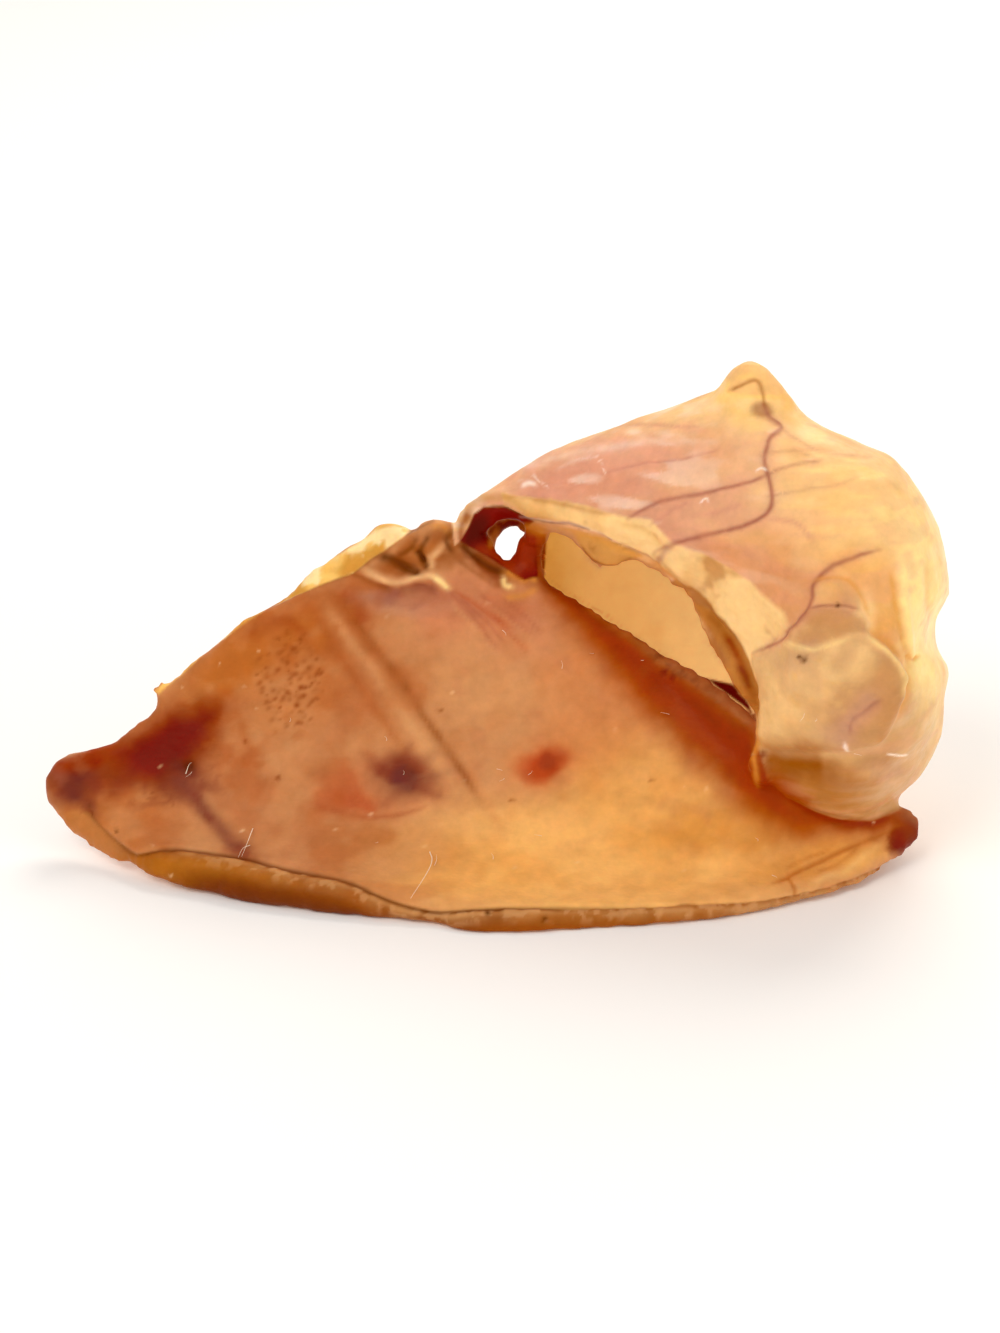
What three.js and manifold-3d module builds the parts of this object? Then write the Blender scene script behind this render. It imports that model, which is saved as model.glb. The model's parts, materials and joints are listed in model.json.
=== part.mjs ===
// A dried pig ear, lying as it dried: a cupped leaf of skin and cartilage that leans back
// from its thick front edge, and the hollow base of the ear that curls over it at the right.
// Millimetres, +Z up, the front towards -Y. One piece, so one solid.

import * as THREE from 'three';
import { LoftGeometry } from 'three/addons/geometries/LoftGeometry.js';
import { mergeVertices } from 'three/addons/utils/BufferGeometryUtils.js';
import Module from 'manifold-3d';

const wasm = await Module();
wasm.setup();

// The leaf, from the ear's tip at the left to its corner at the right: its two edges as x, y, z

const leafFrontEdge = [
	[ - 85.8, 36.5, 11 ], [ - 84, 35, 8.8 ], [ - 79, 31, 6.6 ], [ - 73, 26, 5 ], [ - 66, 19.8, 4.2 ],
	[ - 56, 15.2, 3.7 ], [ - 42, 9.2, 3.3 ], [ - 25, 4.8, 3 ], [ - 9, 1.4, 2.6 ], [ 0, 1, 2.4 ],
	[ 18.5, 2, 2.3 ], [ 37, 3.4, 2.2 ], [ 46.6, 6.2, 2 ], [ 56, 10.4, 2 ], [ 66, 16, 2.1 ],
	[ 72, 21.5, 2.5 ], [ 77, 26.5, 3.4 ], [ 80, 29, 5 ]
];
const leafBackEdge = [
	[ - 85.8, 37, 16 ], [ - 84, 38, 18.2 ], [ - 80.6, 39, 18.9 ], [ - 75, 41, 19.8 ],
	[ - 69.3, 43, 23.3 ], [ - 64.6, 44.5, 27 ], [ - 57, 46, 35.2 ], [ - 51.8, 46.5, 41 ],
	[ - 46.5, 47, 44.4 ], [ - 39.4, 48, 47.5 ], [ - 33.6, 49, 49.9 ], [ - 28.4, 49.5, 51.9 ],
	[ - 23.2, 50, 55.6 ], [ - 18.6, 51, 58.8 ], [ - 12.8, 51.5, 61.2 ], [ - 10.3, 51, 60.6 ],
	[ - 7.5, 50.5, 57.4 ], [ 0, 50, 54 ], [ 8, 49, 51.3 ], [ 15, 47.5, 47.3 ], [ 21.9, 45.5, 43.4 ],
	[ 29.5, 43, 38.7 ], [ 35, 41, 36.2 ], [ 39, 38, 33.8 ], [ 46, 33, 30.8 ], [ 49, 29.5, 28.6 ],
	[ 51.5, 27.5, 21 ], [ 56, 27, 15.4 ], [ 64, 27.5, 12.6 ], [ 72, 29.5, 11.6 ], [ 77.5, 31, 10.8 ],
	[ 80, 31, 8.5 ]
];
const leafLeft = leafFrontEdge[ 0 ][ 0 ];
const leafRight = leafFrontEdge.at( - 1 )[ 0 ];

// How far the leaf sags behind the straight line between its edges, and its thickness, over x

const leafSag = [
	[ - 85.8, 0.5 ], [ - 72, 2.5 ], [ - 52, 8 ], [ - 11, 13.5 ], [ 22, 11.5 ], [ 47, 6.5 ], [ 67, 2 ],
	[ 80, 0.2 ]
];
const leafSagPlace = 0.68;
const leafFrontThickness = [
	[ - 85.8, 4.4 ], [ - 68, 6 ], [ - 48, 7 ], [ - 30, 6.4 ], [ - 12, 5 ], [ 0, 4.3 ], [ 40, 4 ],
	[ 64, 2.8 ], [ 80, 2.6 ]
];
const leafBackThickness = [
	[ - 85.8, 4.4 ], [ - 68, 4.4 ], [ - 36, 3 ], [ - 15, 4.6 ], [ - 7, 3.4 ], [ 14, 2.6 ], [ 50, 2.6 ],
	[ 80, 2.6 ]
];
const leafMiddleThickness = 3.4;
const leafEdgeReach = { front: 0.14, back: 0.12 };

// The fat that stays on the back of the leaf along its upper edge

const fatTop = [
	[ - 65.9, 45.2, 29.3 ], [ - 58, 47.4, 35.5 ], [ - 50.2, 49, 40.7 ], [ - 41.5, 50.3, 46.4 ],
	[ - 34.9, 51.6, 52.1 ], [ - 28.5, 52.6, 56.6 ], [ - 23.3, 53.3, 59.2 ], [ - 20, 53.8, 59.7 ],
	[ - 17.5, 53.8, 59 ], [ - 14.4, 53, 57.1 ]
];
const fatFoot = 0.66;
const fatBehindLeaf = [ 0, 2.8, - 1 ];
const fatThickness = [ [ 0, 2.4 ], [ 0.1, 3.4 ], [ 0.5, 4.6 ], [ 0.8, 6.4 ], [ 1, 4 ] ];

// The hollow base, as a shell that is measured in slices across its length

const cupSlices = [
	{ x: - 8.2, top: 60, bottom: 53.5, front: 48, back: 53, waist: 57 },
	{ x: - 6, top: 64, bottom: 48, front: 46, back: 56, waist: 56.5 },
	{ x: - 1, top: 68, bottom: 39, front: 43, back: 61, waist: 54 },
	{ x: 10, top: 74.5, bottom: 21, front: 38, back: 68, waist: 50 },
	{ x: 23, top: 79.5, bottom: 7, front: 32, back: 73, waist: 45 },
	{ x: 38, top: 85.5, bottom: 0.4, front: 26, back: 76, waist: 41 },
	{ x: 46, top: 88.5, bottom: - 0.5, front: 21.5, back: 76.5, waist: 40 },
	{ x: 51, top: 86.5, bottom: - 0.5, front: 18.6, back: 76.2, waist: 39.5 },
	{ x: 57, top: 83.2, bottom: - 0.1, front: 15, back: 75.2, waist: 39 },
	{ x: 66, top: 81.5, bottom: 2.5, front: 12.5, back: 71.5, waist: 39 },
	{ x: 75, top: 76, bottom: 8.5, front: 16, back: 65, waist: 40 },
	{ x: 81, top: 68, bottom: 17, front: 24, back: 57, waist: 41 },
	{ x: 84, top: 60.5, bottom: 24.5, front: 31, back: 51, waist: 42 },
	{ x: 85.8, top: 51, bottom: 34, front: 38, back: 46, waist: 43 }
];
const cupMiddle = [ 40, 48, 42 ];
const cupWall = 3;
const cupRimWall = 7;
const cupMiddleY = 0.55;

// The mouth of the hollow base: its thick rim where it meets the outer skin and the inner skin

const rimOutside = [
	[ - 3.5, 49, 53 ], [ - 5.6, 49, 56.5 ], [ - 6.6, 49.5, 60.5 ], [ - 6.4, 49.5, 64 ],
	[ - 3.6, 47.5, 67.2 ], [ 0.4, 45.5, 68.6 ], [ 9.4, 42, 68.6 ], [ 15, 40, 67.8 ], [ 22.5, 37, 66.8 ],
	[ 31.8, 34, 62.8 ], [ 39.4, 31, 60.6 ], [ 46.8, 27, 56.5 ], [ 51.5, 22, 49.5 ], [ 52.5, 19, 41 ],
	[ 51.5, 18, 31 ], [ 50.5, 21, 22 ]
];
const rimInside = [
	[ 1, 55, 49 ], [ - 2.2, 53.5, 52.5 ], [ - 3.4, 52, 56.5 ], [ - 2.4, 50.5, 60.4 ], [ 0.8, 49, 62.8 ],
	[ 6.1, 47.5, 62.8 ], [ 9.9, 45.7, 61.6 ], [ 13.9, 43.8, 60.6 ], [ 16.2, 42.3, 58.7 ],
	[ 18.4, 41, 56.2 ], [ 21.5, 39.7, 56 ], [ 24.3, 38.7, 58.5 ], [ 27.4, 37.5, 57.5 ],
	[ 31, 36.1, 55.4 ], [ 35, 34.4, 52.8 ], [ 38.6, 32.7, 49 ], [ 41.8, 30.9, 45.2 ],
	[ 44.4, 29.4, 41.4 ], [ 46.5, 28, 37.5 ], [ 47.7, 26.6, 33.9 ], [ 48.6, 25.6, 32.6 ],
	[ 49.1, 25, 31.2 ], [ 49, 26, 22 ]
];

// The tear through the back wall of the base, and the flap of skin beside it that dried inwards

const tear = { x: 2.4, y: 60, z: 53.2, width: 7.2, height: 8.4, fall: - 0.37, before: - 7, behind: 16 };
const innerFlap = [
	{ left: [ 5, 65, 55 ], right: [ 11, 67, 57 ] },
	{ left: [ 4.6, 61, 52 ], right: [ 9.6, 61.5, 52.5 ] },
	{ left: [ 5, 55, 50.5 ], right: [ 8.8, 54.5, 50.5 ] },
	{ left: [ 5.2, 49.6, 50.6 ], right: [ 8.6, 49.2, 50 ] }
];
const innerFlapThickness = 1.6;

// The rounded peak of the base and the strand at the end of the rim, as x, y, z and radius

const peak = [
	[ 48, 51, 80, 11 ], [ 47.9, 51, 85, 8.6 ], [ 47.5, 51, 88.4, 6.2 ], [ 47.2, 51, 91, 4.4 ],
	[ 47.1, 51, 92.7, 2.8 ], [ 47, 51, 93.5, 1.2 ]
];
const strand = [
	[ 49, 25, 32.4, 1.2 ], [ 49.4, 22.8, 28.6, 1.1 ], [ 48.6, 21.6, 25.6, 0.9 ], [ 49, 21, 23, 0.8 ],
	[ 49.4, 20.8, 20.4, 0.6 ]
];

const floorLevel = 0;
const skin = { color: 0xcf9257, roughness: 0.45, metalness: 0 };

// A smooth curve of a value over its position, through the pairs given

function profile( pairs ) {

	const slope = ( i ) => {

		const a = pairs[ Math.max( i - 1, 0 ) ];
		const b = pairs[ Math.min( i + 1, pairs.length - 1 ) ];
		return ( b[ 1 ] - a[ 1 ] ) / ( b[ 0 ] - a[ 0 ] );

	};

	return ( x ) => {

		let i = 0;
		while ( i < pairs.length - 2 && x > pairs[ i + 1 ][ 0 ] ) i ++;
		const span = pairs[ i + 1 ][ 0 ] - pairs[ i ][ 0 ];
		const t = THREE.MathUtils.clamp( ( x - pairs[ i ][ 0 ] ) / span, 0, 1 );
		const rise = pairs[ i + 1 ][ 1 ] - pairs[ i ][ 1 ];
		const s0 = slope( i ) * span;
		const s1 = slope( i + 1 ) * span;
		return pairs[ i ][ 1 ] + s0 * t + ( 3 * rise - 2 * s0 - s1 ) * t * t + ( s0 + s1 - 2 * rise ) * t * t * t;

	};

}

function edge( points ) {

	const corners = points.map( ( p ) => new THREE.Vector3( ...p ) );
	return new THREE.CatmullRomCurve3( corners, false, 'centripetal' );

}

// A loft of closed rings as a solid that faces outwards, each end drawn together to its middle

function solidLoft( rings ) {

	const gathered = ( ring ) => {

		const middle = ring.reduce( ( sum, p ) => sum.add( p ), new THREE.Vector3() ).divideScalar( ring.length );
		return ring.map( () => middle.clone() );

	};

	const loft = new LoftGeometry( [ gathered( rings[ 0 ] ), ...rings, gathered( rings.at( - 1 ) ) ] );
	const bare = new THREE.BufferGeometry().setIndex( loft.index );
	bare.setAttribute( 'position', loft.attributes.position );
	const merged = mergeVertices( bare, 1e-4 );
	const triangles = [];

	for ( let i = 0; i < merged.index.count; i += 3 ) {

		const [ a, b, c ] = merged.index.array.slice( i, i + 3 );
		if ( a !== b && b !== c && c !== a ) triangles.push( a, b, c );

	}

	const solid = new wasm.Manifold( new wasm.Mesh( {
		numProp: 3,
		vertProperties: new Float32Array( merged.attributes.position.array ),
		triVerts: new Uint32Array( triangles )
	} ) );
	return solid.volume() > 0 ? solid : solidLoft( rings.map( ( ring ) => ring.slice().reverse() ) );

}

// Places on a sheet from 0 to 1, closer together where its edges round over

function places( steps, round ) {

	const inner = Array.from( { length: steps + 1 }, ( _, i ) => round + ( 1 - 2 * round ) * i / steps );
	const near = round * 0.12;
	const next = round * 0.45;
	return round === 0 ? inner : [ 0, near, next, ...inner, 1 - next, 1 - near, 1 ];

}

function roundOver( place, round ) {

	const fromEdge = Math.min( place, 1 - place ) / round;
	return round === 0 || fromEdge >= 1 ? 1 : ( 1 - ( 1 - fromEdge ) ** 2 ) ** 0.25;

}

// A thick sheet over a middle surface, with a ring down its face and back up for each place along it

function sheet( { middle, thickness, relief = () => 0, along, across, round, ends = 0 } ) {

	const reach = 1e-3;
	const thinnest = 0.05;
	const rings = [];

	for ( const u of places( along, ends ) ) {

		const face = [];
		const backFace = [];

		for ( const t of places( across, round ) ) {

			const point = middle( u, t );
			const alongSheet = middle( Math.min( u + reach, 1 ), t ).sub( middle( Math.max( u - reach, 0 ), t ) );
			const acrossIt = middle( u, Math.min( t + reach, 1 ) ).sub( middle( u, Math.max( t - reach, 0 ) ) );
			const normal = alongSheet.cross( acrossIt ).normalize();
			const rounded = roundOver( t, round ) * Math.max( roundOver( u, ends ), thinnest );
			const half = thickness( u, t ) / 2 * rounded;
			face.push( point.clone().addScaledVector( normal, half + relief( point ) * rounded ) );
			backFace.push( point.clone().addScaledVector( normal, - half ) );

		}

		rings.push( [ ...face, ...backFace.reverse().slice( 1, - 1 ) ] );

	}

	return solidLoft( rings );

}

// Low relief of the skin: folds, creases and lobes that run along a line of points

function ridge( points, width, height ) {

	const line = points.map( ( p ) => new THREE.Vector3( ...p ) );
	const nearest = new THREE.Vector3();

	return ( point ) => {

		let distance = Infinity;
		for ( let i = 0; i < line.length - 1; i ++ ) {

			new THREE.Line3( line[ i ], line[ i + 1 ] ).closestPointToPoint( point, true, nearest );
			distance = Math.min( distance, nearest.distanceTo( point ) );

		}

		return height * Math.exp( - ( ( distance / width ) ** 2 ) );

	};

}

// A rounded lobe that stands out round a point, or a hollow where its height is below zero

function lump( point, radius, height ) {

	const middle = new THREE.Vector3( ...point );
	return ( p ) => height * Math.exp( - ( ( p.distanceTo( middle ) / radius ) ** 4 ) );

}

function together( forms ) {

	return ( point ) => forms.reduce( ( sum, form ) => sum + form( point ), 0 );

}

// The leaf

function edgeAt( points ) {

	const y = profile( points.map( ( p ) => [ p[ 0 ], p[ 1 ] ] ) );
	const z = profile( points.map( ( p ) => [ p[ 0 ], p[ 2 ] ] ) );
	return ( x ) => new THREE.Vector3( x, y( x ), z( x ) );

}

const frontEdge = edgeAt( leafFrontEdge );
const backEdge = edgeAt( leafBackEdge );
const sag = profile( leafSag );
const frontThickness = profile( leafFrontThickness );
const backThickness = profile( leafBackThickness );
const sagDirection = new THREE.Vector3( 0, 0.75, - 0.66 );

function leafMiddle( u, t ) {

	const x = THREE.MathUtils.lerp( leafLeft, leafRight, u );
	const point = frontEdge( x ).lerp( backEdge( x ), t );
	return point.addScaledVector( sagDirection, sag( x ) * Math.sin( Math.PI * Math.pow( t, leafSagPlace ) ) );

}

function leafThickness( u, t ) {

	const x = THREE.MathUtils.lerp( leafLeft, leafRight, u );
	const nearFront = Math.exp( - ( ( t / leafEdgeReach.front ) ** 2 ) );
	const nearBack = Math.exp( - ( ( ( 1 - t ) / leafEdgeReach.back ) ** 2 ) );
	return leafMiddleThickness + ( frontThickness( x ) - leafMiddleThickness ) * nearFront
		+ ( backThickness( x ) - leafMiddleThickness ) * nearBack;

}

const leafRelief = together( [
	ridge( [ [ - 37, 48, 46 ], [ - 25, 45, 35 ], [ - 10, 37, 20 ] ], 6, 1.2 ),
	ridge( [ [ - 27, 47.5, 52.5 ], [ - 20, 46, 51.2 ], [ - 14.5, 45.5, 52 ], [ - 9.5, 45, 50.4 ] ], 3.4, 1.9 ),
	ridge( [ [ - 19, 49, 59 ], [ - 13, 47, 55 ], [ - 8, 48, 57.4 ] ], 3.2, 1.7 )
] );

function leaf() {

	return sheet( {
		middle: leafMiddle, thickness: leafThickness, relief: leafRelief,
		along: 54, across: 17, round: 0.035, ends: 0.02
	} );

}

// The hollow base

const cupRelief = together( [
	lump( [ 55, 15.5, 47 ], 9, 1.8 ),
	lump( [ 67, 15, 44 ], 9, 2.4 ),
	lump( [ 60, 17, 55.5 ], 6, 1.4 ),
	ridge( [ [ 51, 20, 27.5 ], [ 61.6, 17, 26.3 ], [ 73.8, 22, 25.3 ], [ 80, 28, 26 ] ], 3.4, - 1.7 ),
	ridge( [ [ 76, 18, 47 ], [ 84, 34, 45 ], [ 84, 46, 44 ] ], 4, - 2.2 )
] );

function cupRings( wall, frontWall, slices, points, relief = () => 0 ) {

	const value = ( name, inset ) => profile( cupSlices.map( ( s ) => [ s.x, s[ name ] + inset ] ) );
	const top = value( 'top', - wall );
	const bottom = value( 'bottom', wall );
	const front = value( 'front', frontWall );
	const back = value( 'back', - wall );
	const waist = value( 'waist', 0 );
	const first = cupSlices[ 0 ].x + wall;
	const last = cupSlices.at( - 1 ).x - wall;
	const centre = new THREE.Vector3( ...cupMiddle );
	const rings = [];

	for ( let i = 0; i <= slices; i ++ ) {

		const x = ( first + last ) / 2 - ( last - first ) / 2 * Math.cos( Math.PI * i / slices );
		const middleY = THREE.MathUtils.lerp( front( x ), back( x ), cupMiddleY );
		const ring = [];

		for ( let j = 0; j < points; j ++ ) {

			const angle = 2 * Math.PI * j / points;
			const c = Math.cos( angle );
			const s = Math.sin( angle );
			const y = middleY + c * ( c > 0 ? back( x ) - middleY : middleY - front( x ) );
			const z = waist( x ) + s * ( s > 0 ? top( x ) - waist( x ) : waist( x ) - bottom( x ) );
			const point = new THREE.Vector3( x, y, z );
			const outwards = point.clone().sub( centre ).normalize();
			ring.push( point.addScaledVector( outwards, relief( point ) ) );

		}

		rings.push( ring );

	}

	return rings;

}

// The cut through the front of the base: a slanted cut from the outer rim to the inner rim

function mouthCut() {

	const outside = edge( rimOutside );
	const inside = edge( rimInside );
	const steps = 40;
	const lipSteps = 8;
	const belowLip = 4;
	const inwards = { left: 1.5, right: 12, over: 0.3 };
	const depths = [ - 1.5, 0, 0.5, 1, 1.8 ];

	const rings = depths.map( ( depth ) => {

		const ring = [];
		for ( let i = 0; i <= steps; i ++ ) {

			const a = outside.getPoint( i / steps );
			const b = inside.getPoint( i / steps );
			const share = Math.min( i / steps / inwards.over, 1 );
			const reach = THREE.MathUtils.lerp( inwards.left, inwards.right, share );
			if ( depth <= 1 ) ring.push( a.lerp( b, depth ) );
			else ring.push( b.add( new THREE.Vector3( 0, ( depth - 1 ) * reach, 0 ) ) );

		}

		const last = ring.at( - 1 );
		const first = ring[ 0 ];
		for ( let i = 1; i < lipSteps; i ++ ) {

			const t = i / lipSteps;
			const point = last.clone().lerp( first, t );
			point.z -= belowLip * Math.sin( Math.PI * t );
			ring.push( point );

		}

		return ring;

	} );

	return solidLoft( rings );

}

// A round cut along the line of sight through the tear

function tearCut() {

	const sides = 16;
	const rings = [ tear.before, 0, tear.behind ].map( ( far ) => {

		const ring = [];
		for ( let j = 0; j < sides; j ++ ) {

			const angle = 2 * Math.PI * j / sides;
			ring.push( new THREE.Vector3(
				tear.x + tear.width / 2 * Math.cos( angle ),
				tear.y + far,
				tear.z + far * tear.fall + tear.height / 2 * Math.sin( angle )
			) );

		}

		return ring;

	} );

	return solidLoft( rings );

}

// All the room in front of the leaf, up to where the base folds down over it

function roomBeforeLeaf() {

	const from = 0.4;
	const to = 0.8;
	const steps = 16;
	const across = 10;
	const forward = new THREE.Vector3( 0, - 80, 0 );
	const raised = 6;
	const lowered = 20;
	const rings = [];

	for ( let i = 0; i <= steps; i ++ ) {

		const u = THREE.MathUtils.lerp( from, to, i / steps );
		const ring = [];
		for ( let j = 0; j <= across; j ++ ) ring.push( leafMiddle( u, j / across ) );
		const high = leafMiddle( u, 1 ).add( forward );
		const low = leafMiddle( u, 0 ).add( forward );
		high.z += raised;
		low.z -= lowered;
		rings.push( [ ...ring, high, low ] );

	}

	return solidLoft( rings );

}

function cup() {

	const outer = solidLoft( cupRings( 0, 0, 38, 36, cupRelief ) );
	const inner = solidLoft( cupRings( cupWall, cupRimWall, 26, 24 ) );
	return outer.subtract( inner ).subtract( mouthCut() ).subtract( roomBeforeLeaf() ).subtract( tearCut() );

}

// An upright form of level rings, for the rounded peak and for the torn strand that hangs from the rim

function column( points, sides ) {

	const rings = points.map( ( [ x, y, z, radius ] ) => {

		const ring = [];
		for ( let j = 0; j < sides; j ++ ) {

			const angle = 2 * Math.PI * j / sides;
			ring.push( new THREE.Vector3( x + radius * Math.cos( angle ), y + radius * Math.sin( angle ), z ) );

		}

		return ring;

	} );
	return solidLoft( rings );

}

function flapByTear() {

	const half = new THREE.Vector3( 0, innerFlapThickness / 2, innerFlapThickness / 2 );
	const rings = innerFlap.map( ( { left, right } ) => {

		const a = new THREE.Vector3( ...left );
		const b = new THREE.Vector3( ...right );
		return [ a.clone().sub( half ), b.clone().sub( half ), b.clone().add( half ), a.clone().add( half ) ];

	} );
	return solidLoft( rings );

}

function fatLayer() {

	const top = edgeAt( fatTop );
	const left = fatTop[ 0 ][ 0 ];
	const right = fatTop.at( - 1 )[ 0 ];
	const behind = new THREE.Vector3( ...fatBehindLeaf );

	const middle = ( u, t ) => {

		const x = THREE.MathUtils.lerp( left, right, u );
		const onLeaf = ( x - leafLeft ) / ( leafRight - leafLeft );
		const overhang = top( x ).sub( backEdge( x ) ).multiplyScalar( t );
		const foot = leafMiddle( onLeaf, THREE.MathUtils.lerp( fatFoot, 1, t ) );
		return foot.addScaledVector( behind, 1 - t ).add( overhang );

	};

	return sheet( { middle, thickness: profile( fatThickness ), along: 18, across: 5, round: 0.16 } );

}

async function build() {

	const forms = [ cup(), fatLayer(), flapByTear(), column( peak, 14 ), column( strand, 8 ) ];
	const whole = forms.reduce( ( sum, form ) => sum.add( form ), leaf() );
	const mesh = whole.trimByPlane( [ 0, 0, 1 ], floorLevel ).getMesh();
	const geometry = new THREE.BufferGeometry();
	geometry.setAttribute( 'position', new THREE.BufferAttribute( mesh.vertProperties.slice(), 3 ) );
	geometry.setIndex( new THREE.BufferAttribute( mesh.triVerts.slice(), 1 ) );
	geometry.computeBoundingBox();
	const { min, max } = geometry.boundingBox;
	geometry.translate( - ( min.x + max.x ) / 2, - ( min.y + max.y ) / 2, floorLevel - min.z );
	geometry.computeVertexNormals();
	return geometry;

}

const ear = new THREE.Mesh( await build(), new THREE.MeshStandardMaterial( skin ) );
ear.name = 'pig_ear';

const part = new THREE.Group();
part.add( ear );

export default part;
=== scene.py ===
# A dried pig ear in plain studio light
import bpy
import json
import math
import numpy as np
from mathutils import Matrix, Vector
from mathutils.bvhtree import BVHTree

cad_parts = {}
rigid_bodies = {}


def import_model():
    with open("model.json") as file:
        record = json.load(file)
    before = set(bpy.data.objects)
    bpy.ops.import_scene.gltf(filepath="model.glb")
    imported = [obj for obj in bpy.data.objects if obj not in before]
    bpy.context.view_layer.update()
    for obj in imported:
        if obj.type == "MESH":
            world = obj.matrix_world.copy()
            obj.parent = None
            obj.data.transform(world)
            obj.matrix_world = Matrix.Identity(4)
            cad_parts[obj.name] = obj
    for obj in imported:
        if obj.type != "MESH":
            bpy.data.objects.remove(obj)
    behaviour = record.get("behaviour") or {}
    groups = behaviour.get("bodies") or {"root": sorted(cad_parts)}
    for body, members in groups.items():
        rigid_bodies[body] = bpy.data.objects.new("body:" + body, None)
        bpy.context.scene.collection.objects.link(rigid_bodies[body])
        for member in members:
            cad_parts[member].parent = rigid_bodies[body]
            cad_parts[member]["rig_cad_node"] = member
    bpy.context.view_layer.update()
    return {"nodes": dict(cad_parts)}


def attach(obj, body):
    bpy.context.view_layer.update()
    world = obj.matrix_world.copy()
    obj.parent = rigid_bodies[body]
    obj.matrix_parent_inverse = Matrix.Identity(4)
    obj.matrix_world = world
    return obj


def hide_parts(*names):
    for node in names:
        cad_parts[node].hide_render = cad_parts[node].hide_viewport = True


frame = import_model()
print("packed ear loaded")

mm = 0.001  # in metres, the frame's unit

# Places on the ear are named by the pixels of this view, x to the right and y down
view = {
    "width": 1000, "height": 1333,
    "lens": 100.0, "sensor": 36.0,
    "elevation": 22.0,
    "distance": 0.704,
    "target": (0.0002, -0.0027, 0.038),
}

light = {
    "world": 0.47,
    "key": {"place": (-0.55, -0.75, 0.95), "size": 0.8, "power": 6.8, "colour": (255, 250, 242)},
    "fill": {"place": (0.85, -0.55, 0.45), "size": 0.9, "power": 2.2, "colour": (255, 248, 240)},
    "back": {"place": (0.25, 0.75, 0.85), "size": 0.8, "power": 6.5, "colour": (255, 246, 234)},
}

floorLook = {
    "size": 8, "drop": 0.0002,
    "colour": (255, 254, 253), "glow": 0.03, "roughness": 0.7, "specular": 0.2,
}


def linear(colour):
    # screen colour 0 to 255 to the linear light that Blender mixes
    share = np.array(colour, float) / 255.0
    return np.where(share <= 0.04045, share / 12.92, ((share + 0.055) / 1.055) ** 2.4)


def cameraPlace():
    tilt = math.radians(view["elevation"])
    ahead = Vector((0, math.cos(tilt), -math.sin(tilt)))
    return Vector(view["target"]) - ahead * view["distance"]


def pixelRay(x, y):
    # where the camera stands, and the direction in which it sees a pixel
    tilt = math.radians(view["elevation"])
    scale = view["lens"] / view["sensor"] * view["height"]
    right = Vector((1, 0, 0))
    up = Vector((0, math.sin(tilt), math.cos(tilt)))
    ahead = Vector((0, math.cos(tilt), -math.sin(tilt)))
    aim = ahead + right * ((x - view["width"] / 2) / scale) + up * ((view["height"] / 2 - y) / scale)
    return cameraPlace(), aim.normalized()


def toPixel(points):
    tilt = math.radians(view["elevation"])
    away = points - np.array(view["target"])
    depth = view["distance"] + away[:, 1] * math.cos(tilt) - away[:, 2] * math.sin(tilt)
    up = away[:, 1] * math.sin(tilt) + away[:, 2] * math.cos(tilt)
    scale = view["lens"] / view["sensor"] * view["height"]
    across = view["width"] / 2 + scale * away[:, 0] / depth
    down = view["height"] / 2 - scale * up / depth
    return np.column_stack((across, down))


def makeCamera():
    bpy.ops.object.camera_add(location=cameraPlace())
    camera = bpy.context.active_object
    camera.name = "photoCamera"
    camera.data.lens = view["lens"]
    camera.data.sensor_width = view["sensor"]
    camera.rotation_euler = (math.radians(90 - view["elevation"]), 0, 0)
    bpy.context.scene.camera = camera


def makeLights():
    scene = bpy.context.scene
    world = bpy.data.worlds.new("studio")
    world.use_nodes = True
    sky = world.node_tree.nodes["Background"]
    sky.inputs["Color"].default_value = (1, 1, 1, 1)
    sky.inputs["Strength"].default_value = light["world"]
    scene.world = world
    for name in ("key", "fill", "back"):
        lamp = light[name]
        bpy.ops.object.light_add(type="AREA", location=lamp["place"])
        softbox = bpy.context.active_object
        softbox.name = name + "Softbox"
        softbox.data.shape = "DISK"
        softbox.data.size = lamp["size"]
        softbox.data.energy = lamp["power"]
        softbox.data.color = tuple(linear(lamp["colour"]))
        aim = Vector(view["target"]) - Vector(lamp["place"])
        softbox.rotation_euler = aim.to_track_quat("-Z", "Y").to_euler()
    scene.view_settings.view_transform = "Standard"


def newMaterial(name):
    # the material, its node tree and its surface node
    material = bpy.data.materials.new(name)
    material.use_nodes = True
    return material, material.node_tree, material.node_tree.nodes["Principled BSDF"]


def makeFloor():
    bpy.ops.mesh.primitive_plane_add(size=floorLook["size"], location=(0, 0, -floorLook["drop"]))
    floor = bpy.context.active_object
    floor.name = "floor"
    material, surface = newMaterial("paleFloor")[::2]
    surface.inputs["Base Color"].default_value = (*linear(floorLook["colour"]), 1)
    surface.inputs["Emission Color"].default_value = (1, 1, 1, 1)
    surface.inputs["Emission Strength"].default_value = floorLook["glow"]
    surface.inputs["Roughness"].default_value = floorLook["roughness"]
    surface.inputs["Specular IOR Level"].default_value = floorLook["specular"]
    floor.data.materials.append(material)


makeCamera()
makeLights()
makeFloor()
print("camera, lights and floor placed")


# Selecting, joining and reading meshes
def onlyChosen(piece):
    bpy.ops.object.select_all(action="DESELECT")
    piece.select_set(True)
    bpy.context.view_layer.objects.active = piece


def joinAll(pieces):
    bpy.ops.object.select_all(action="DESELECT")
    for piece in pieces:
        piece.select_set(True)
    bpy.context.view_layer.objects.active = pieces[0]
    bpy.ops.object.join()
    bpy.ops.object.transform_apply(location=True, rotation=True, scale=True)
    return bpy.context.active_object


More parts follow.
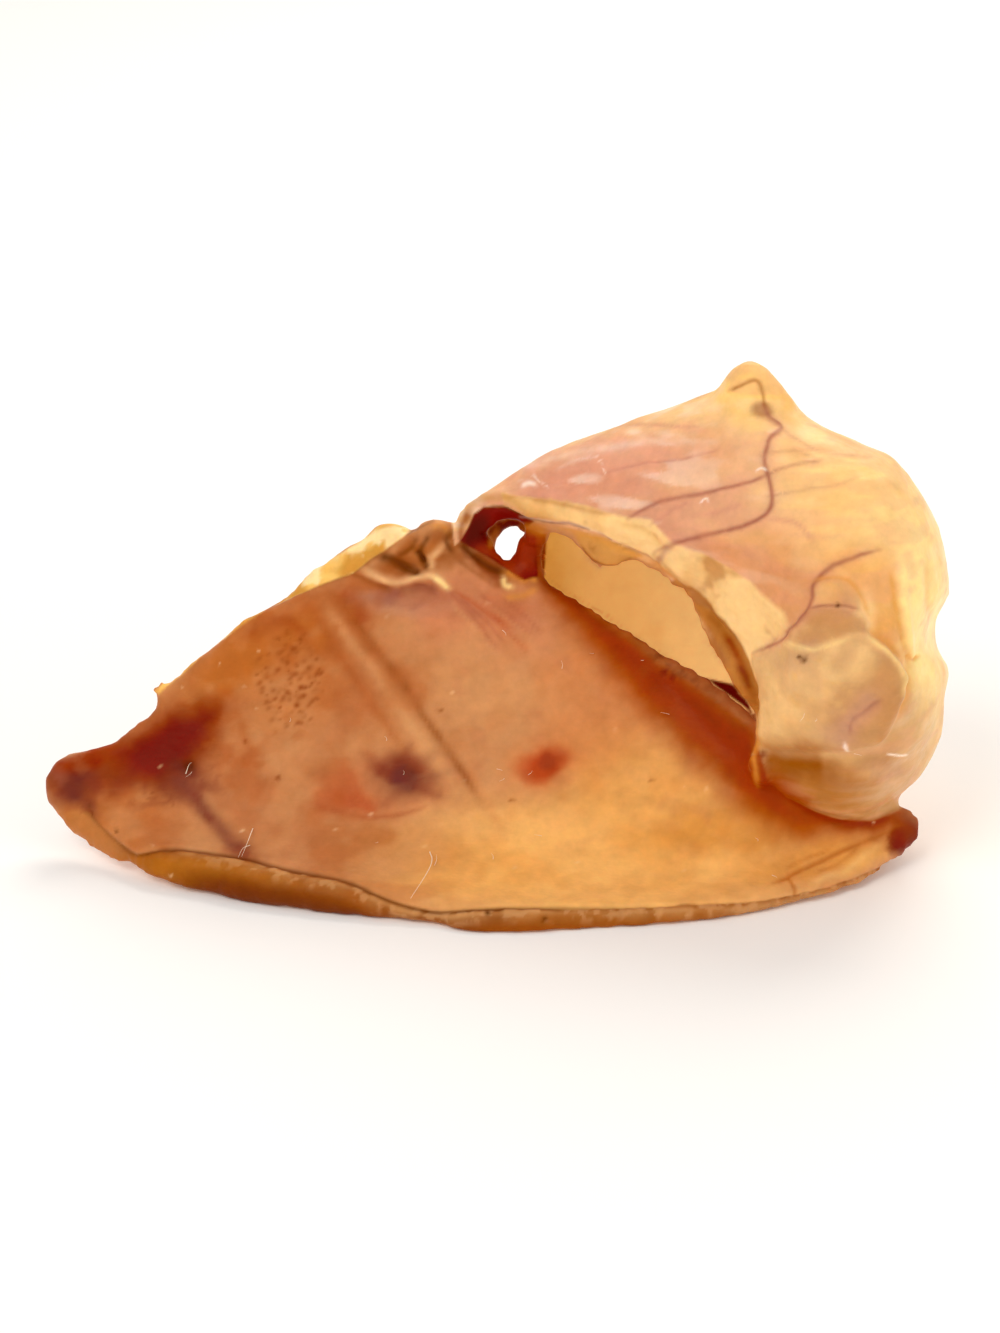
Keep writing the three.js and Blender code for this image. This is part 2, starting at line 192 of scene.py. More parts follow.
def readMesh(piece):
    # each vertex's place and normal, and the two ends of each edge
    mesh = piece.data
    count = len(mesh.vertices)
    place = np.empty(count * 3)
    mesh.vertices.foreach_get("co", place)
    normal = np.empty(count * 3)
    mesh.vertex_normals.foreach_get("vector", normal)
    ends = np.empty(len(mesh.edges) * 2, dtype=np.int32)
    mesh.edges.foreach_get("vertices", ends)
    return place.reshape(-1, 3), normal.reshape(-1, 3), ends.reshape(-1, 2)


def writePlaces(piece, place):
    piece.data.vertices.foreach_set("co", place.ravel())
    piece.data.update()


def facesTree(piece):
    mesh = piece.data
    corners = [tuple(face.vertices) for face in mesh.polygons]
    return BVHTree.FromPolygons([tuple(v.co) for v in mesh.vertices], corners)


def neighbourMean(values, ends):
    count = len(values)
    columns = values.reshape(count, -1)
    share = np.maximum(np.bincount(ends.ravel(), minlength=count), 1)
    total = np.empty_like(columns, dtype=float)
    for c in range(columns.shape[1]):
        total[:, c] = np.bincount(ends[:, 0], columns[ends[:, 1], c], count)
        total[:, c] += np.bincount(ends[:, 1], columns[ends[:, 0], c], count)
    return (total / share[:, None]).reshape(values.shape)


def soften(values, ends, passes):
    for turn in range(passes):
        values = 0.5 * values + 0.5 * neighbourMean(values, ends)
    return values


# Soft steps, clouds, lines and outlines
def smooth(low, high, value):
    # 0 at low, 1 at high and soft between them, whichever of the two is larger
    share = np.clip((value - low) / (high - low), 0.0, 1.0)
    return share * share * (3.0 - 2.0 * share)


# How many cells the noise has each way, where it starts, and how each finer layer is scaled and shifted
noise = {"cells": 24, "start": 300.0, "finer": 2.03, "shift": 7.1}


def cloud(points, size, seed, octaves=3):
    # soft seeded noise from 0 to 1, with lumps of the given size in metres
    cells = noise["cells"]
    lattice = np.random.RandomState(seed).rand(cells, cells, cells)
    total = np.zeros(len(points))
    strength, whole = 1.0, 0.0
    spot = points / size + noise["start"]
    for octave in range(octaves):
        low = np.floor(spot).astype(int)
        part = spot - low
        part = part * part * (3.0 - 2.0 * part)
        value = np.zeros(len(points))
        for corner in np.ndindex(2, 2, 2):
            weight = np.abs(1 - np.array(corner) - part).prod(axis=1)
            i, j, k = ((low + corner) % cells).T
            value += weight * lattice[i, j, k]
        total += strength * value
        whole += strength
        strength *= 0.5
        spot = spot * noise["finer"] + noise["shift"]
    return total / whole


def bend(points, steps=6):
    # a smooth line through the given points, with so many steps from each to the next
    corners = np.array(points, float)
    padded = np.vstack((2 * corners[0] - corners[1], corners, 2 * corners[-1] - corners[-2]))
    line = []
    for k in range(len(corners) - 1):
        a, b, c, d = padded[k:k + 4]
        for t in np.arange(steps) / steps:
            line.append(0.5 * (2 * b + (c - a) * t + (2 * a - 5 * b + 4 * c - d) * t ** 2
                               + (3 * b - a - 3 * c + d) * t ** 3))
    line.append(corners[-1])
    return np.array(line)


def nearLine(pixel, line, reach):
    # distance in pixels from a line, up to the reach, and the place along it from 0 to 1
    outOfReach = 1e6
    best = np.full(len(pixel), outOfReach)
    along = np.zeros(len(pixel))
    inBox = (pixel > line.min(axis=0) - reach) & (pixel < line.max(axis=0) + reach)
    chosen = np.flatnonzero(inBox.all(axis=1))
    near = pixel[chosen]
    gap = np.full(len(chosen), outOfReach)
    share = np.zeros(len(chosen))
    for k in range(len(line) - 1):
        step = line[k + 1] - line[k]
        off = near - line[k]
        t = np.clip(off @ step / max(step @ step, 1e-9), 0, 1)
        far = np.hypot(off[:, 0] - t * step[0], off[:, 1] - t * step[1])
        share = np.where(far < gap, (k + t) / (len(line) - 1), share)
        gap = np.minimum(gap, far)
    best[chosen] = gap
    along[chosen] = share
    return best, along


def within(pixel, outline, edge):
    # 1 inside a closed outline and 0 outside it, soft over the edge's pixels
    ring = np.array(outline + outline[:1], float)
    gap = nearLine(pixel, ring, edge + 4)[0]
    inside = np.zeros(len(pixel), bool)
    for k in range(len(ring) - 1):
        (x0, y0), (x1, y1) = ring[k], ring[k + 1]
        if y0 == y1:
            continue
        crosses = (y0 > pixel[:, 1]) != (y1 > pixel[:, 1])
        inside ^= crosses & (pixel[:, 0] < (x1 - x0) * (pixel[:, 1] - y0) / (y1 - y0) + x0)
    return smooth(-edge, edge, np.where(inside, gap, -gap))


# where a soft oval ends and where it is whole, as shares of its half widths
patchEdge = (1.3, 0.4)


def patchWeight(pixel, middle, reach, turn):
    # 1 in the middle of a soft oval and 0 outside it
    angle = math.radians(turn)
    off = pixel - np.array(middle, float)
    a = (off[:, 0] * math.cos(angle) + off[:, 1] * math.sin(angle)) / reach[0]
    b = (off[:, 1] * math.cos(angle) - off[:, 0] * math.sin(angle)) / reach[1]
    return smooth(*patchEdge, np.hypot(a, b))


# Outlines of the ear's parts as the camera sees them
parts = {
    "hood": [(455, 545), (450, 505), (470, 482), (520, 430), (735, 345), (765, 345), (960, 470),
        (962, 620), (962, 700), (950, 765), (915, 800), (895, 812), (873, 821), (841, 820), (815, 812),
        (787, 798), (767, 778), (759, 750), (757, 720), (757, 698), (750, 671), (738, 641), (715, 615),
        (683, 595), (660, 567), (624, 552), (601, 536), (569, 526), (534, 521), (506, 507), (484, 507),
        (474, 514), (468, 528), (460, 541)],
    "mouth": [(474, 514), (484, 507), (506, 507), (534, 521), (569, 526), (601, 536), (624, 552),
        (660, 567), (683, 595), (715, 615), (738, 641), (750, 671), (757, 698), (759, 717), (748, 709),
        (704, 681), (683, 663), (654, 647), (614, 619), (578, 596), (541, 573), (520, 580), (498, 560),
        (474, 548), (460, 541), (468, 528)],
    # the roll's inside, painted dark: painted shade over the skin's deep red
    "rollInside": [(460, 541), (468, 528), (474, 514), (484, 507), (506, 507), (534, 521), (526, 528),
        (545, 534), (543, 575), (524, 580), (508, 570), (490, 558), (474, 549)],
    "darkFlap": [(535, 533), (546, 533), (543, 576), (538, 576), (537, 556)],
    "hangingFlap": [(574, 534), (582, 548), (590, 560), (604, 567), (618, 566), (632, 558), (644, 556),
        (624, 546), (600, 534)],
    # painted shade: the dark red corner of the inner wall between the lip and the rim
    "paintedShadeCorner": [(704, 678), (741, 686), (752, 712)],
    "pad": [(754, 655), (772, 647), (789, 640), (799, 643), (812, 645), (828, 642), (848, 634),
        (866, 634), (883, 647), (894, 658), (902, 675), (901, 692), (893, 712), (878, 740), (850, 752),
        (800, 750), (766, 748), (760, 715), (757, 690)],
    "greyPad": [(789, 640), (800, 618), (809, 610), (834, 608), (850, 612), (862, 620), (867, 634),
        (848, 634), (828, 642), (812, 645), (799, 643)],
    # painted shade under the hood and its lip, over the skin's deeper orange there
    "underLip": [(541, 574), (600, 608), (654, 648), (704, 682), (759, 717), (764, 756), (792, 796),
        (830, 818), (896, 812), (908, 826), (870, 834), (820, 838), (770, 830), (735, 806), (700, 764),
        (660, 724), (620, 682), (580, 636), (550, 606)],
    "deepLip": [(590, 606), (654, 652), (704, 690), (757, 728), (764, 760), (792, 800), (780, 806),
        (752, 784), (716, 736), (680, 704), (630, 658)],
    "bruise": [(122, 752), (150, 733), (176, 716), (202, 704), (220, 708), (212, 730), (204, 748),
        (196, 766), (176, 776), (158, 786), (140, 780), (126, 766)],
    "upperPad": [(809, 610), (812, 594), (823, 583), (842, 584), (856, 598), (864, 622), (850, 612),
        (834, 608)],
    "rimFat": [(502, 494), (550, 500), (590, 507), (624, 517), (650, 520), (670, 540), (711, 557),
        (752, 582), (785, 612), (792, 630), (772, 644), (757, 654), (757, 690), (748, 662), (730, 628),
        (706, 602), (678, 578), (650, 556), (628, 545), (601, 531), (569, 521), (532, 516), (504, 506)],
    "rimInner": [(683, 597), (700, 606), (715, 611), (735, 636), (750, 660), (756, 680), (764, 707),
        (759, 717), (750, 708), (738, 690), (722, 665), (708, 645), (696, 626), (688, 610)],
    "rimBrown": [(676, 578), (700, 592), (728, 620), (748, 655), (760, 690), (760, 718), (750, 690),
        (738, 655), (716, 625), (692, 602), (670, 582)],
    "band": [(60, 812), (87, 813), (113, 839), (136, 855), (174, 849), (240, 858), (288, 869),
        (346, 881), (389, 901), (432, 912), (480, 910), (520, 908), (600, 908), (700, 905), (760, 902),
        (830, 887), (900, 861), (915, 880), (900, 905), (700, 960), (300, 960), (60, 860)],
    "fat": [(155, 692), (200, 655), (240, 628), (285, 598), (300, 580), (318, 565), (340, 554),
        (360, 541), (378, 527), (396, 521), (413, 527), (403, 537), (379, 553), (352, 573), (325, 583),
        (295, 596), (258, 613), (231, 630), (196, 662), (160, 694)],
}

# How fine the skin's mesh is, in metres and passes
skinMesh = {
    "voxel": 0.00148,
    "evenPasses": 24, "finePasses": 5, "lastPasses": 2, "flatPasses": 24,
    "push": 0.5, "pull": -0.53,
    "seenDepth": 0.0006,
    "hollowReach": 0.07, "hollowPasses": 4,
    "fineWidth": 3.1, "fineStrength": 0.6, "fineEdge": 1.0,
    "fineParts": ["rimFat", "rimBrown", "paintedShadeCorner", "darkFlap"],
    "fineOutlines": [
        [(250, 660), (272, 638), (304, 640), (328, 664), (326, 704), (304, 732), (272, 730),
         (250, 706)],
        [(454, 545), (460, 516), (480, 500), (510, 501), (538, 516), (534, 530), (502, 516), (482, 530),
         (472, 553)],
        [(352, 574), (378, 545), (420, 516), (450, 520), (466, 540), (540, 572), (540, 592), (500, 600),
         (400, 596)],
        [(80, 806), (113, 834), (136, 850), (174, 844), (240, 853), (288, 864), (346, 877), (389, 897),
         (432, 908), (520, 904), (620, 904), (760, 898), (830, 884), (896, 858), (898, 866), (830, 892),
         (760, 908), (600, 914), (520, 916), (430, 920), (389, 909), (340, 892), (288, 878), (240, 866),
         (136, 862)],
    ],
}

# The least wall in metres, how far right of the middle it is looked for, and which way its inner side faces
thinWall = {"least": 0.0027, "from": 0.045, "facing": -0.25}

# Small forms that stand on the skin, by pixels of the view
smallForms = {
    "steps": 5, "lumpNet": (20, 12),
    # round lumps of fat and gristle: x, y, radius in mm, how far the middle lies over the skin in mm
    "lumps": [
        (556, 499, 1.6, -0.9), (600, 509, 1.9, -1.1), (634, 521, 1.7, -0.8), (664, 538, 2.3, -1.3),
        (694, 553, 2.4, -1.4), (724, 565, 2.5, -1.5), (752, 585, 2.3, -1.3), (776, 612, 2.4, -1.5),
        (726, 590, 2.6, -1.7), (728, 611, 2.4, -1.6), (752, 622, 2.4, -1.6), (763, 652, 2.2, -1.4),
        (440, 536, 2.6, -1.3), (424, 534, 2.2, -1.1), (453, 550, 1.8, -0.9), (405, 546, 1.8, -0.9),
        (318, 580, 2.4, -1.0), (352, 560, 2.8, -1.4), (386, 538, 3.0, -1.6), (162, 690, 1.9, -0.5),
        (508, 578, 1.5, -0.4), (526, 576, 1.3, -0.4),
    ],
    # rolls and folds: pixels, radius in mm at each, lift in mm
    "folds": [
        ([(362, 567), (380, 578), (398, 583), (416, 577), (432, 575), (448, 588)],
         (0.8, 1.2, 1.3, 1.2, 1.2, 0.6), 0.0),
        ([(404, 533), (396, 547), (384, 558), (366, 568)], (0.8, 1.3, 1.2, 0.6), -0.1),
        ([(446, 540), (436, 551), (428, 558), (432, 570)], (0.9, 1.2, 1.1, 0.7), -0.1),
        ([(484, 582), (502, 592), (520, 594)], (0.5, 0.9, 0.6), -0.2),
        ([(582, 603), (616, 627), (656, 654), (688, 676), (722, 702), (748, 728)],
         (0.7, 1.1, 1.4, 1.7, 2.0, 1.8), -1.0),
        ([(466, 540), (466, 522), (476, 505), (494, 498), (520, 503)], (1.6, 1.9, 2.0, 1.8, 1.2), -0.8),
        ([(66, 766), (60, 780), (62, 796), (72, 812), (88, 826)], (1.8, 2.4, 2.5, 2.2, 1.4), -0.9),
    ],
    # skin that dried across the gap: pixels, distance behind the ear's middle in mm, radius in mm
    "bridges": [
        ([(541, 530), (530, 547), (528, 562), (531, 578)], (9, 12, 12, 9), (2.2, 2.6, 2.7, 2.4)),
        ([(486, 519), (482, 533), (486, 547), (494, 562), (507, 571), (520, 578)],
         (11, 12, 13, 12, 11, 10), (1.6, 1.6, 1.6, 1.7, 1.7, 1.8)),
        ([(696, 604), (712, 626), (729, 650), (741, 674), (750, 698)],
         (-3.5, -5.5, -8.5, -12, -15), (1.2, 2.1, 2.5, 2.3, 1.5)),
        ([(582, 538), (594, 550), (608, 555), (622, 554), (634, 550)],
         (3, 2.5, 1.5, 0.8, 0), (1.2, 2.1, 2.3, 1.9, 1.1)),
    ],
}

# Where the outline is drawn in or out: middle and half widths in pixels, turn, mm to move by
moves = [
    ((84, 838), (46, 24), 28, (-0.4, 0.0, -1.7)), ((54, 782), (16, 30), 0, (-0.8, 0.0, -0.4)),
    ((958, 632), (36, 30), 0, (-2.6, 0.0, 0.0)), ((935, 765), (36, 56), 0, (1.5, 0.0, 0.0)),
    ((848, 425), (44, 18), 32, (-0.4, 0.0, -1.2)), ((560, 930), (230, 14), 0, (0.0, -3.6, 0.0)),
    ((436, 520), (20, 16), 0, (0.0, 0.0, 1.3)), ((459, 537), (7, 12), 0, (0.0, 0.0, -1.4)),
    ((386, 528), (26, 12), 0, (0.0, 0.0, 0.6)),
]
# creases to be flattened out: middle and half widths in pixels
flattenedPlaces = [((942, 630), (22, 34)), ((726, 616), (18, 24))]


# Shaping the skin
def evenOut(piece, passes):
    # moves in and out by turns, so the flat facets go and the thin sheets don't shrink
    place, ends = readMesh(piece)[::2]
    for turn in range(passes):
        for step in (skinMesh["push"], skinMesh["pull"]):
            place = place + step * (neighbourMean(place, ends) - place)
    place[:, 2] = np.maximum(place[:, 2], 0.0)
    writePlaces(piece, place)


def depthBehindSeen(place, tree):
    # how far each vertex lies behind the first skin that the camera meets on the way to it
    start = cameraPlace()
    behind = np.zeros(len(place))
    for i, point in enumerate(place):
        way = Vector(point) - start
        far = way.length
        hit = tree.ray_cast(start, way / far)
        if hit[0] is not None:
            behind[i] = far - hit[3]
    return behind


def opposite(place, normal, tree, lift=0.0008):
    # 1 where the skin looks at other skin close by, as inside the hollow, 0 where it looks out
    found = np.zeros(len(place))
    for i in range(len(place)):
        out = Vector(normal[i])
        hit = tree.ray_cast(Vector(place[i]) + out * lift, out, skinMesh["hollowReach"])
        if hit[0] is not None:
            found[i] = 1.0
    return found


def copyOfNode(name, merged=0.00002):
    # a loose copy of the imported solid, with its doubled corners merged
    onlyChosen(frame["nodes"][name])
    bpy.ops.object.duplicate()
    piece = bpy.context.active_object
    bpy.ops.object.parent_clear(type="CLEAR_KEEP_TRANSFORM")
    del piece["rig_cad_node"]
    piece.name = "earSkin"
    piece.data.materials.clear()
    bpy.context.tool_settings.mesh_select_mode = (True, False, False)
    bpy.ops.object.mode_set(mode="EDIT")
    bpy.ops.mesh.select_all(action="SELECT")
    bpy.ops.mesh.remove_doubles(threshold=merged)
    bpy.ops.object.mode_set(mode="OBJECT")
    return piece


def thickenWall(piece, skip=0.00002):
    # the net can't hold the thinnest of the right-hand wall, so its inner side is drawn inwards there
    place, normal = readMesh(piece)[:2]
    tree = facesTree(piece)
    short = np.zeros(len(place))
    inner = (place[:, 0] > thinWall["from"]) & (normal[:, 0] < thinWall["facing"])
    for i in np.flatnonzero(inner):
        back = -Vector(normal[i])
        hit = tree.ray_cast(Vector(place[i]) + back * skip, back, thinWall["least"])
        if hit[0] is not None:
            short[i] = thinWall["least"] - hit[3]
    writePlaces(piece, place + normal * short[:, None])
    print("wall thickened at", int((short > 0).sum()), "vertices")


def tube(line, radii):
    # a round strand through points in space
    bpy.ops.object.select_all(action="DESELECT")
    bpy.ops.curve.primitive_nurbs_path_add()
    strand = bpy.context.active_object
    strand.data.splines.remove(strand.data.splines[0])
    spline = strand.data.splines.new("POLY")
    spline.points.add(len(line) - 1)
    for k, point in enumerate(line):
        spline.points[k].co = (*point, 1)
        spline.points[k].radius = radii[k]
    strand.data.bevel_depth = 1.0
    strand.data.bevel_resolution = 2
    strand.data.use_fill_caps = True
    bpy.ops.object.convert(target="MESH")
    return bpy.context.active_object


def roll(points, radii):
    # a tube bent through the points, with the radii in mm spread evenly along it
    line = bend(points, smallForms["steps"])
    shares = np.linspace(0, len(radii) - 1, len(line))
    return tube(line, np.interp(shares, np.arange(len(radii)), radii) * mm)


def onSkin(tree, pixels, lifts):
    # the skin's places where the camera sees the pixels, each lifted off it by its mm
    points = []
    for (x, y), lift in zip(pixels, lifts):
        hit, normal = tree.ray_cast(*pixelRay(x, y))[:2]
        if hit is not None:
            points.append(tuple(hit + normal * lift * mm))
    return points


def addSmallForms(piece):
    tree = facesTree(piece)
    made = [piece]
    sides, rings = smallForms["lumpNet"]
    for x, y, radius, lift in smallForms["lumps"]:
        for place in onSkin(tree, [(x, y)], [lift]):
            bpy.ops.object.select_all(action="DESELECT")
            bpy.ops.mesh.primitive_uv_sphere_add(segments=sides, ring_count=rings, radius=radius * mm,
                                                 location=place)
            made.append(bpy.context.active_object)
    for pixels, radii, lift in smallForms["folds"]:
        points = onSkin(tree, pixels, [lift] * len(pixels))
        if len(points) == len(pixels):
            made.append(roll(points, radii))
    for pixels, backwards, radii in smallForms["bridges"]:
        points = []
        for (x, y), away in zip(pixels, backwards):
            start, aim = pixelRay(x, y)
            points.append(tuple(start + aim * ((away * mm - start.y) / aim.y)))
        made.append(roll(points, radii))
    print("small forms:", len(made) - 1)
    return joinAll(made)


def splitFaces(piece, vertexWanted):
    # one more cut on every face with a wanted vertex
    mesh = piece.data
    starts = np.empty(len(mesh.polygons), dtype=np.int32)
    mesh.polygons.foreach_get("loop_start", starts)
    corners = np.empty(len(mesh.loops), dtype=np.int32)
    mesh.loops.foreach_get("vertex_index", corners)
    wanted = np.maximum.reduceat(vertexWanted[corners].astype(int), starts) > 0
    mesh.vertices.foreach_set("select", np.zeros(len(mesh.vertices), bool))
    mesh.edges.foreach_set("select", np.zeros(len(mesh.edges), bool))
    mesh.polygons.foreach_set("select", wanted)
    onlyChosen(piece)
    bpy.context.tool_settings.mesh_select_mode = (False, False, True)
    bpy.ops.object.mode_set(mode="EDIT")
    bpy.ops.mesh.subdivide(number_cuts=1)
    bpy.ops.object.mode_set(mode="OBJECT")


def netOver(piece):
    # one even net over the ear and its small forms
    onlyChosen(piece)
    net = piece.modifiers.new("evenNet", "REMESH")
    net.mode = "VOXEL"
    net.voxel_size = skinMesh["voxel"]
    bpy.ops.object.modifier_apply(modifier=net.name)


def drawOutline(piece):
    # the outline is drawn to the photo's, and odd creases are flattened out
    place, ends = readMesh(piece)[::2]
    pixel = toPixel(place)
    for middle, reach, turn, step in moves:
        place += patchWeight(pixel, middle, reach, turn)[:, None] * np.array(step) * mm
    flattened = soften(place, ends, skinMesh["flatPasses"])
    for middle, reach in flattenedPlaces:
        place += patchWeight(pixel, middle, reach, 0)[:, None] * (flattened - place)
    writePlaces(piece, place)


def splitSeen(piece):
    # what looks into the hollow is marked, and the seen side gets a finer net
    place, normal, ends = readMesh(piece)
    tree = facesTree(piece)
    behind = depthBehindSeen(place, tree)
    hollow = soften(opposite(place, normal, tree), ends, skinMesh["hollowPasses"])
    layer = piece.data.attributes.new("hollow", "FLOAT", "POINT")
    layer.data.foreach_set("value", hollow)
    splitFaces(piece, behind < skinMesh["seenDepth"] * 2)


def splitFineParts(piece):
    # thin strokes and small parts get the finest net
    place = readMesh(piece)[0]
    pixel = toPixel(place)
    behind = depthBehindSeen(place, facesTree(piece))
    fine = np.zeros(len(place), bool)
    for points, width, name, strength, raised, ragged in leafStrokes + hoodStrokes + rimStrokes:
        if width < skinMesh["fineWidth"] and strength >= skinMesh["fineStrength"]:
            fine |= nearLine(pixel, bend(points), width)[0] < width
    for outline in [parts[name] for name in skinMesh["fineParts"]] + skinMesh["fineOutlines"]:
        fine |= within(pixel, outline, skinMesh["fineEdge"]) > 0.5
    fine &= behind < skinMesh["seenDepth"] * 2
    splitFaces(piece, fine)


def makeSkin():
    piece = copyOfNode("pig_ear")
    thickenWall(piece)
    piece = addSmallForms(piece)
    netOver(piece)
    drawOutline(piece)
    evenOut(piece, skinMesh["evenPasses"])
    print("skin net:", len(piece.data.polygons), "faces")
    splitSeen(piece)
    evenOut(piece, skinMesh["finePasses"])
    print("seen side split:", len(piece.data.polygons), "faces")
    splitFineParts(piece)
    evenOut(piece, skinMesh["lastPasses"])
    print("fine parts split:", len(piece.data.polygons), "faces")
    return piece


# Colours of skin, fat and the hollow, as a screen shows them; some of them are painted light and shade, as
# said where they are used
palette = {
    "tan": (206, 148, 102), "amber": (238, 174, 96), "amberPale": (243, 188, 116),
    "streak": (126, 60, 56), "honey": (234, 176, 102), "caramel": (206, 134, 56), "rust": (176, 96, 52),
    "rustTan": (190, 122, 82), "ochre": (188, 110, 52), "copper": (166, 68, 2),
    "deepOrange": (156, 55, 0), "rosy": (207, 138, 100), "rosyDark": (180, 104, 80),
    "salmon": (212, 134, 82), "redSkin": (184, 74, 42), "redLine": (160, 56, 36), "wine": (128, 50, 44),
    "wineDeep": (100, 46, 56), "darkRed": (122, 10, 2), "redBrown": (148, 44, 18),
    "plum": (126, 56, 50), "lilacGrey": (150, 88, 80), "chestnut": (136, 50, 12),
    "foldBrown": (150, 78, 36), "foldDark": (100, 44, 18), "lobeBrown": (162, 92, 50),
    "ridgeTan": (218, 162, 112), "ridgePale": (230, 184, 134), "lipTan": (184, 118, 64),
    "pitPurple": (124, 58, 38), "cream": (240, 198, 142), "paleCream": (253, 224, 156),
    "peach": (242, 194, 130), "rose": (222, 160, 134), "roseDeep": (204, 138, 118),
    "lilac": (196, 148, 122), "fatPale": (244, 206, 146), "fatGrey": (224, 178, 116),
    "fatLine": (176, 112, 62), "peak": (236, 176, 98), "peakPale": (250, 204, 126),
    "peakAmber": (222, 156, 76), "paintedHighlight": (255, 240, 226), "wall": (225, 180, 110),
    "wallPale": (234, 200, 134), "wallDeep": (206, 156, 78), "flap": (176, 92, 24),
    "flapAmber": (208, 150, 82), "rollDark": (126, 16, 0), "rollDeep": (92, 2, 0),
    "lipBrown": (156, 76, 18), "tipTan": (183, 107, 58), "innerTan": (192, 130, 68),
    "lipMauve": (178, 114, 72), "edgeBrown": (158, 90, 42), "edgeYellow": (176, 108, 44),
    "edgePale": (198, 146, 96), "edgePurple": (118, 56, 32), "darkLine": (88, 34, 12),
    "vein": (160, 95, 82), "umber": (158, 90, 30), "rollTan": (190, 130, 70), "pit": (148, 70, 34),
    "blob": (250, 202, 118), "blobPale": (252, 228, 176), "blobDeep": (206, 146, 62),
    "hidden": (206, 148, 90), "paintedGlintFleck": (242, 208, 162), "padCream": (210, 166, 118),
    "roseTan": (216, 152, 104), "beige": (208, 162, 114), "greySkin": (196, 146, 98),
    "underTip": (188, 122, 72),
}

# Soft patches of colour: middle, half widths, turn in degrees, colour, strength
leafPatches = [
    ((520, 700), (290, 150), 0, "tan", 0.9), ((290, 690), (180, 120), -38, "rust", 0.75),
    ((300, 720), (90, 60), -30, "rustTan", 0.6), ((200, 790), (110, 60), 15, "rustTan", 0.75),
    ((225, 680), (36, 80), 36, "ochre", 0.8), ((285, 690), (66, 52), -30, "ochre", 0.42),
    ((300, 745), (50, 30), -20, "tan", 0.5), ((320, 634), (44, 24), -30, "rust", 0.6),
    # the pale amber, amber and honey patches on the lower middle are partly painted light where the leaf
    # faces up, partly its paler skin
    ((330, 850), (130, 36), 10, "rustTan", 0.6), ((600, 862), (240, 72), 0, "amberPale", 1.0),
    ((480, 870), (90, 30), 0, "amber", 0.4), ((650, 800), (100, 76), 30, "honey", 0.75),
    ((390, 600), (60, 30), 0, "rust", 0.4), ((400, 850), (90, 30), 4, "rust", 0.35),
    ((466, 610), (100, 46), 8, "rosy", 0.9), ((520, 640), (60, 30), 30, "rosy", 0.5),
    ((600, 700), (70, 80), 30, "salmon", 0.55), ((560, 590), (60, 20), 33, "chestnut", 0.6),
    ((748, 826), (110, 30), -6, "caramel", 0.6), ((850, 852), (60, 20), -16, "honey", 0.75),
    ((378, 790), (72, 34), -4, "redSkin", 0.55), ((362, 802), (44, 14), 6, "redSkin", 0.4),
    ((405, 776), (36, 26), 8, "wine", 0.9), ((406, 778), (16, 12), 0, "wineDeep", 0.85),
    ((541, 763), (46, 28), -20, "salmon", 0.6), ((542, 763), (30, 19), -18, "redSkin", 0.95),
    ((546, 760), (12, 9), 0, "wine", 0.5), ((120, 816), (70, 46), 15, "tipTan", 0.9),
    ((160, 748), (104, 30), -28, "redBrown", 0.9), ((206, 716), (34, 20), -40, "rust", 0.5),
    ((230, 745), (30, 26), 0, "rust", 0.5), ((186, 782), (34, 20), 20, "wine", 0.7),
    ((98, 776), (40, 20), -8, "wine", 0.6), ((68, 782), (30, 30), 0, "plum", 1.0),
    ((72, 790), (14, 22), 0, "wineDeep", 0.5), ((60, 774), (9, 14), 0, "lilacGrey", 0.8),
    ((86, 806), (10, 20), -20, "plum", 0.6), ((100, 756), (58, 13), -12, "redBrown", 0.9),
    ((908, 836), (17, 26), 10, "plum", 1.0), ((897, 838), (9, 14), 10, "darkRed", 0.9),
    # the fold-brown patches here and on the next line are painted shade in the fold above the crest; the
    # lilac and lilac-grey ones are painted shade below it
    ((410, 556), (44, 20), -10, "foldBrown", 0.85), ((446, 545), (24, 24), 0, "lobeBrown", 0.9),
    ((390, 548), (34, 12), -34, "foldBrown", 0.7), ((400, 604), (60, 14), 8, "lilac", 0.5),
    ((490, 566), (34, 14), 32, "chestnut", 0.8), ((145, 818), (44, 26), 20, "rosy", 0.15),
    ((802, 862), (66, 20), -12, "caramel", 0.5), ((410, 597), (46, 11), 0, "lilacGrey", 0.6),
    ((304, 634), (30, 26), -30, "ochre", 0.6), ((470, 604), (80, 24), 10, "rosyDark", 0.35),
    ((400, 640), (40, 26), 40, "tan", 0.5), ((500, 680), (80, 50), 20, "ridgeTan", 0.3),
    ((436, 532), (14, 10), 0, "lobeBrown", 0.6), ((420, 548), (18, 12), 0, "ochre", 0.5),
]
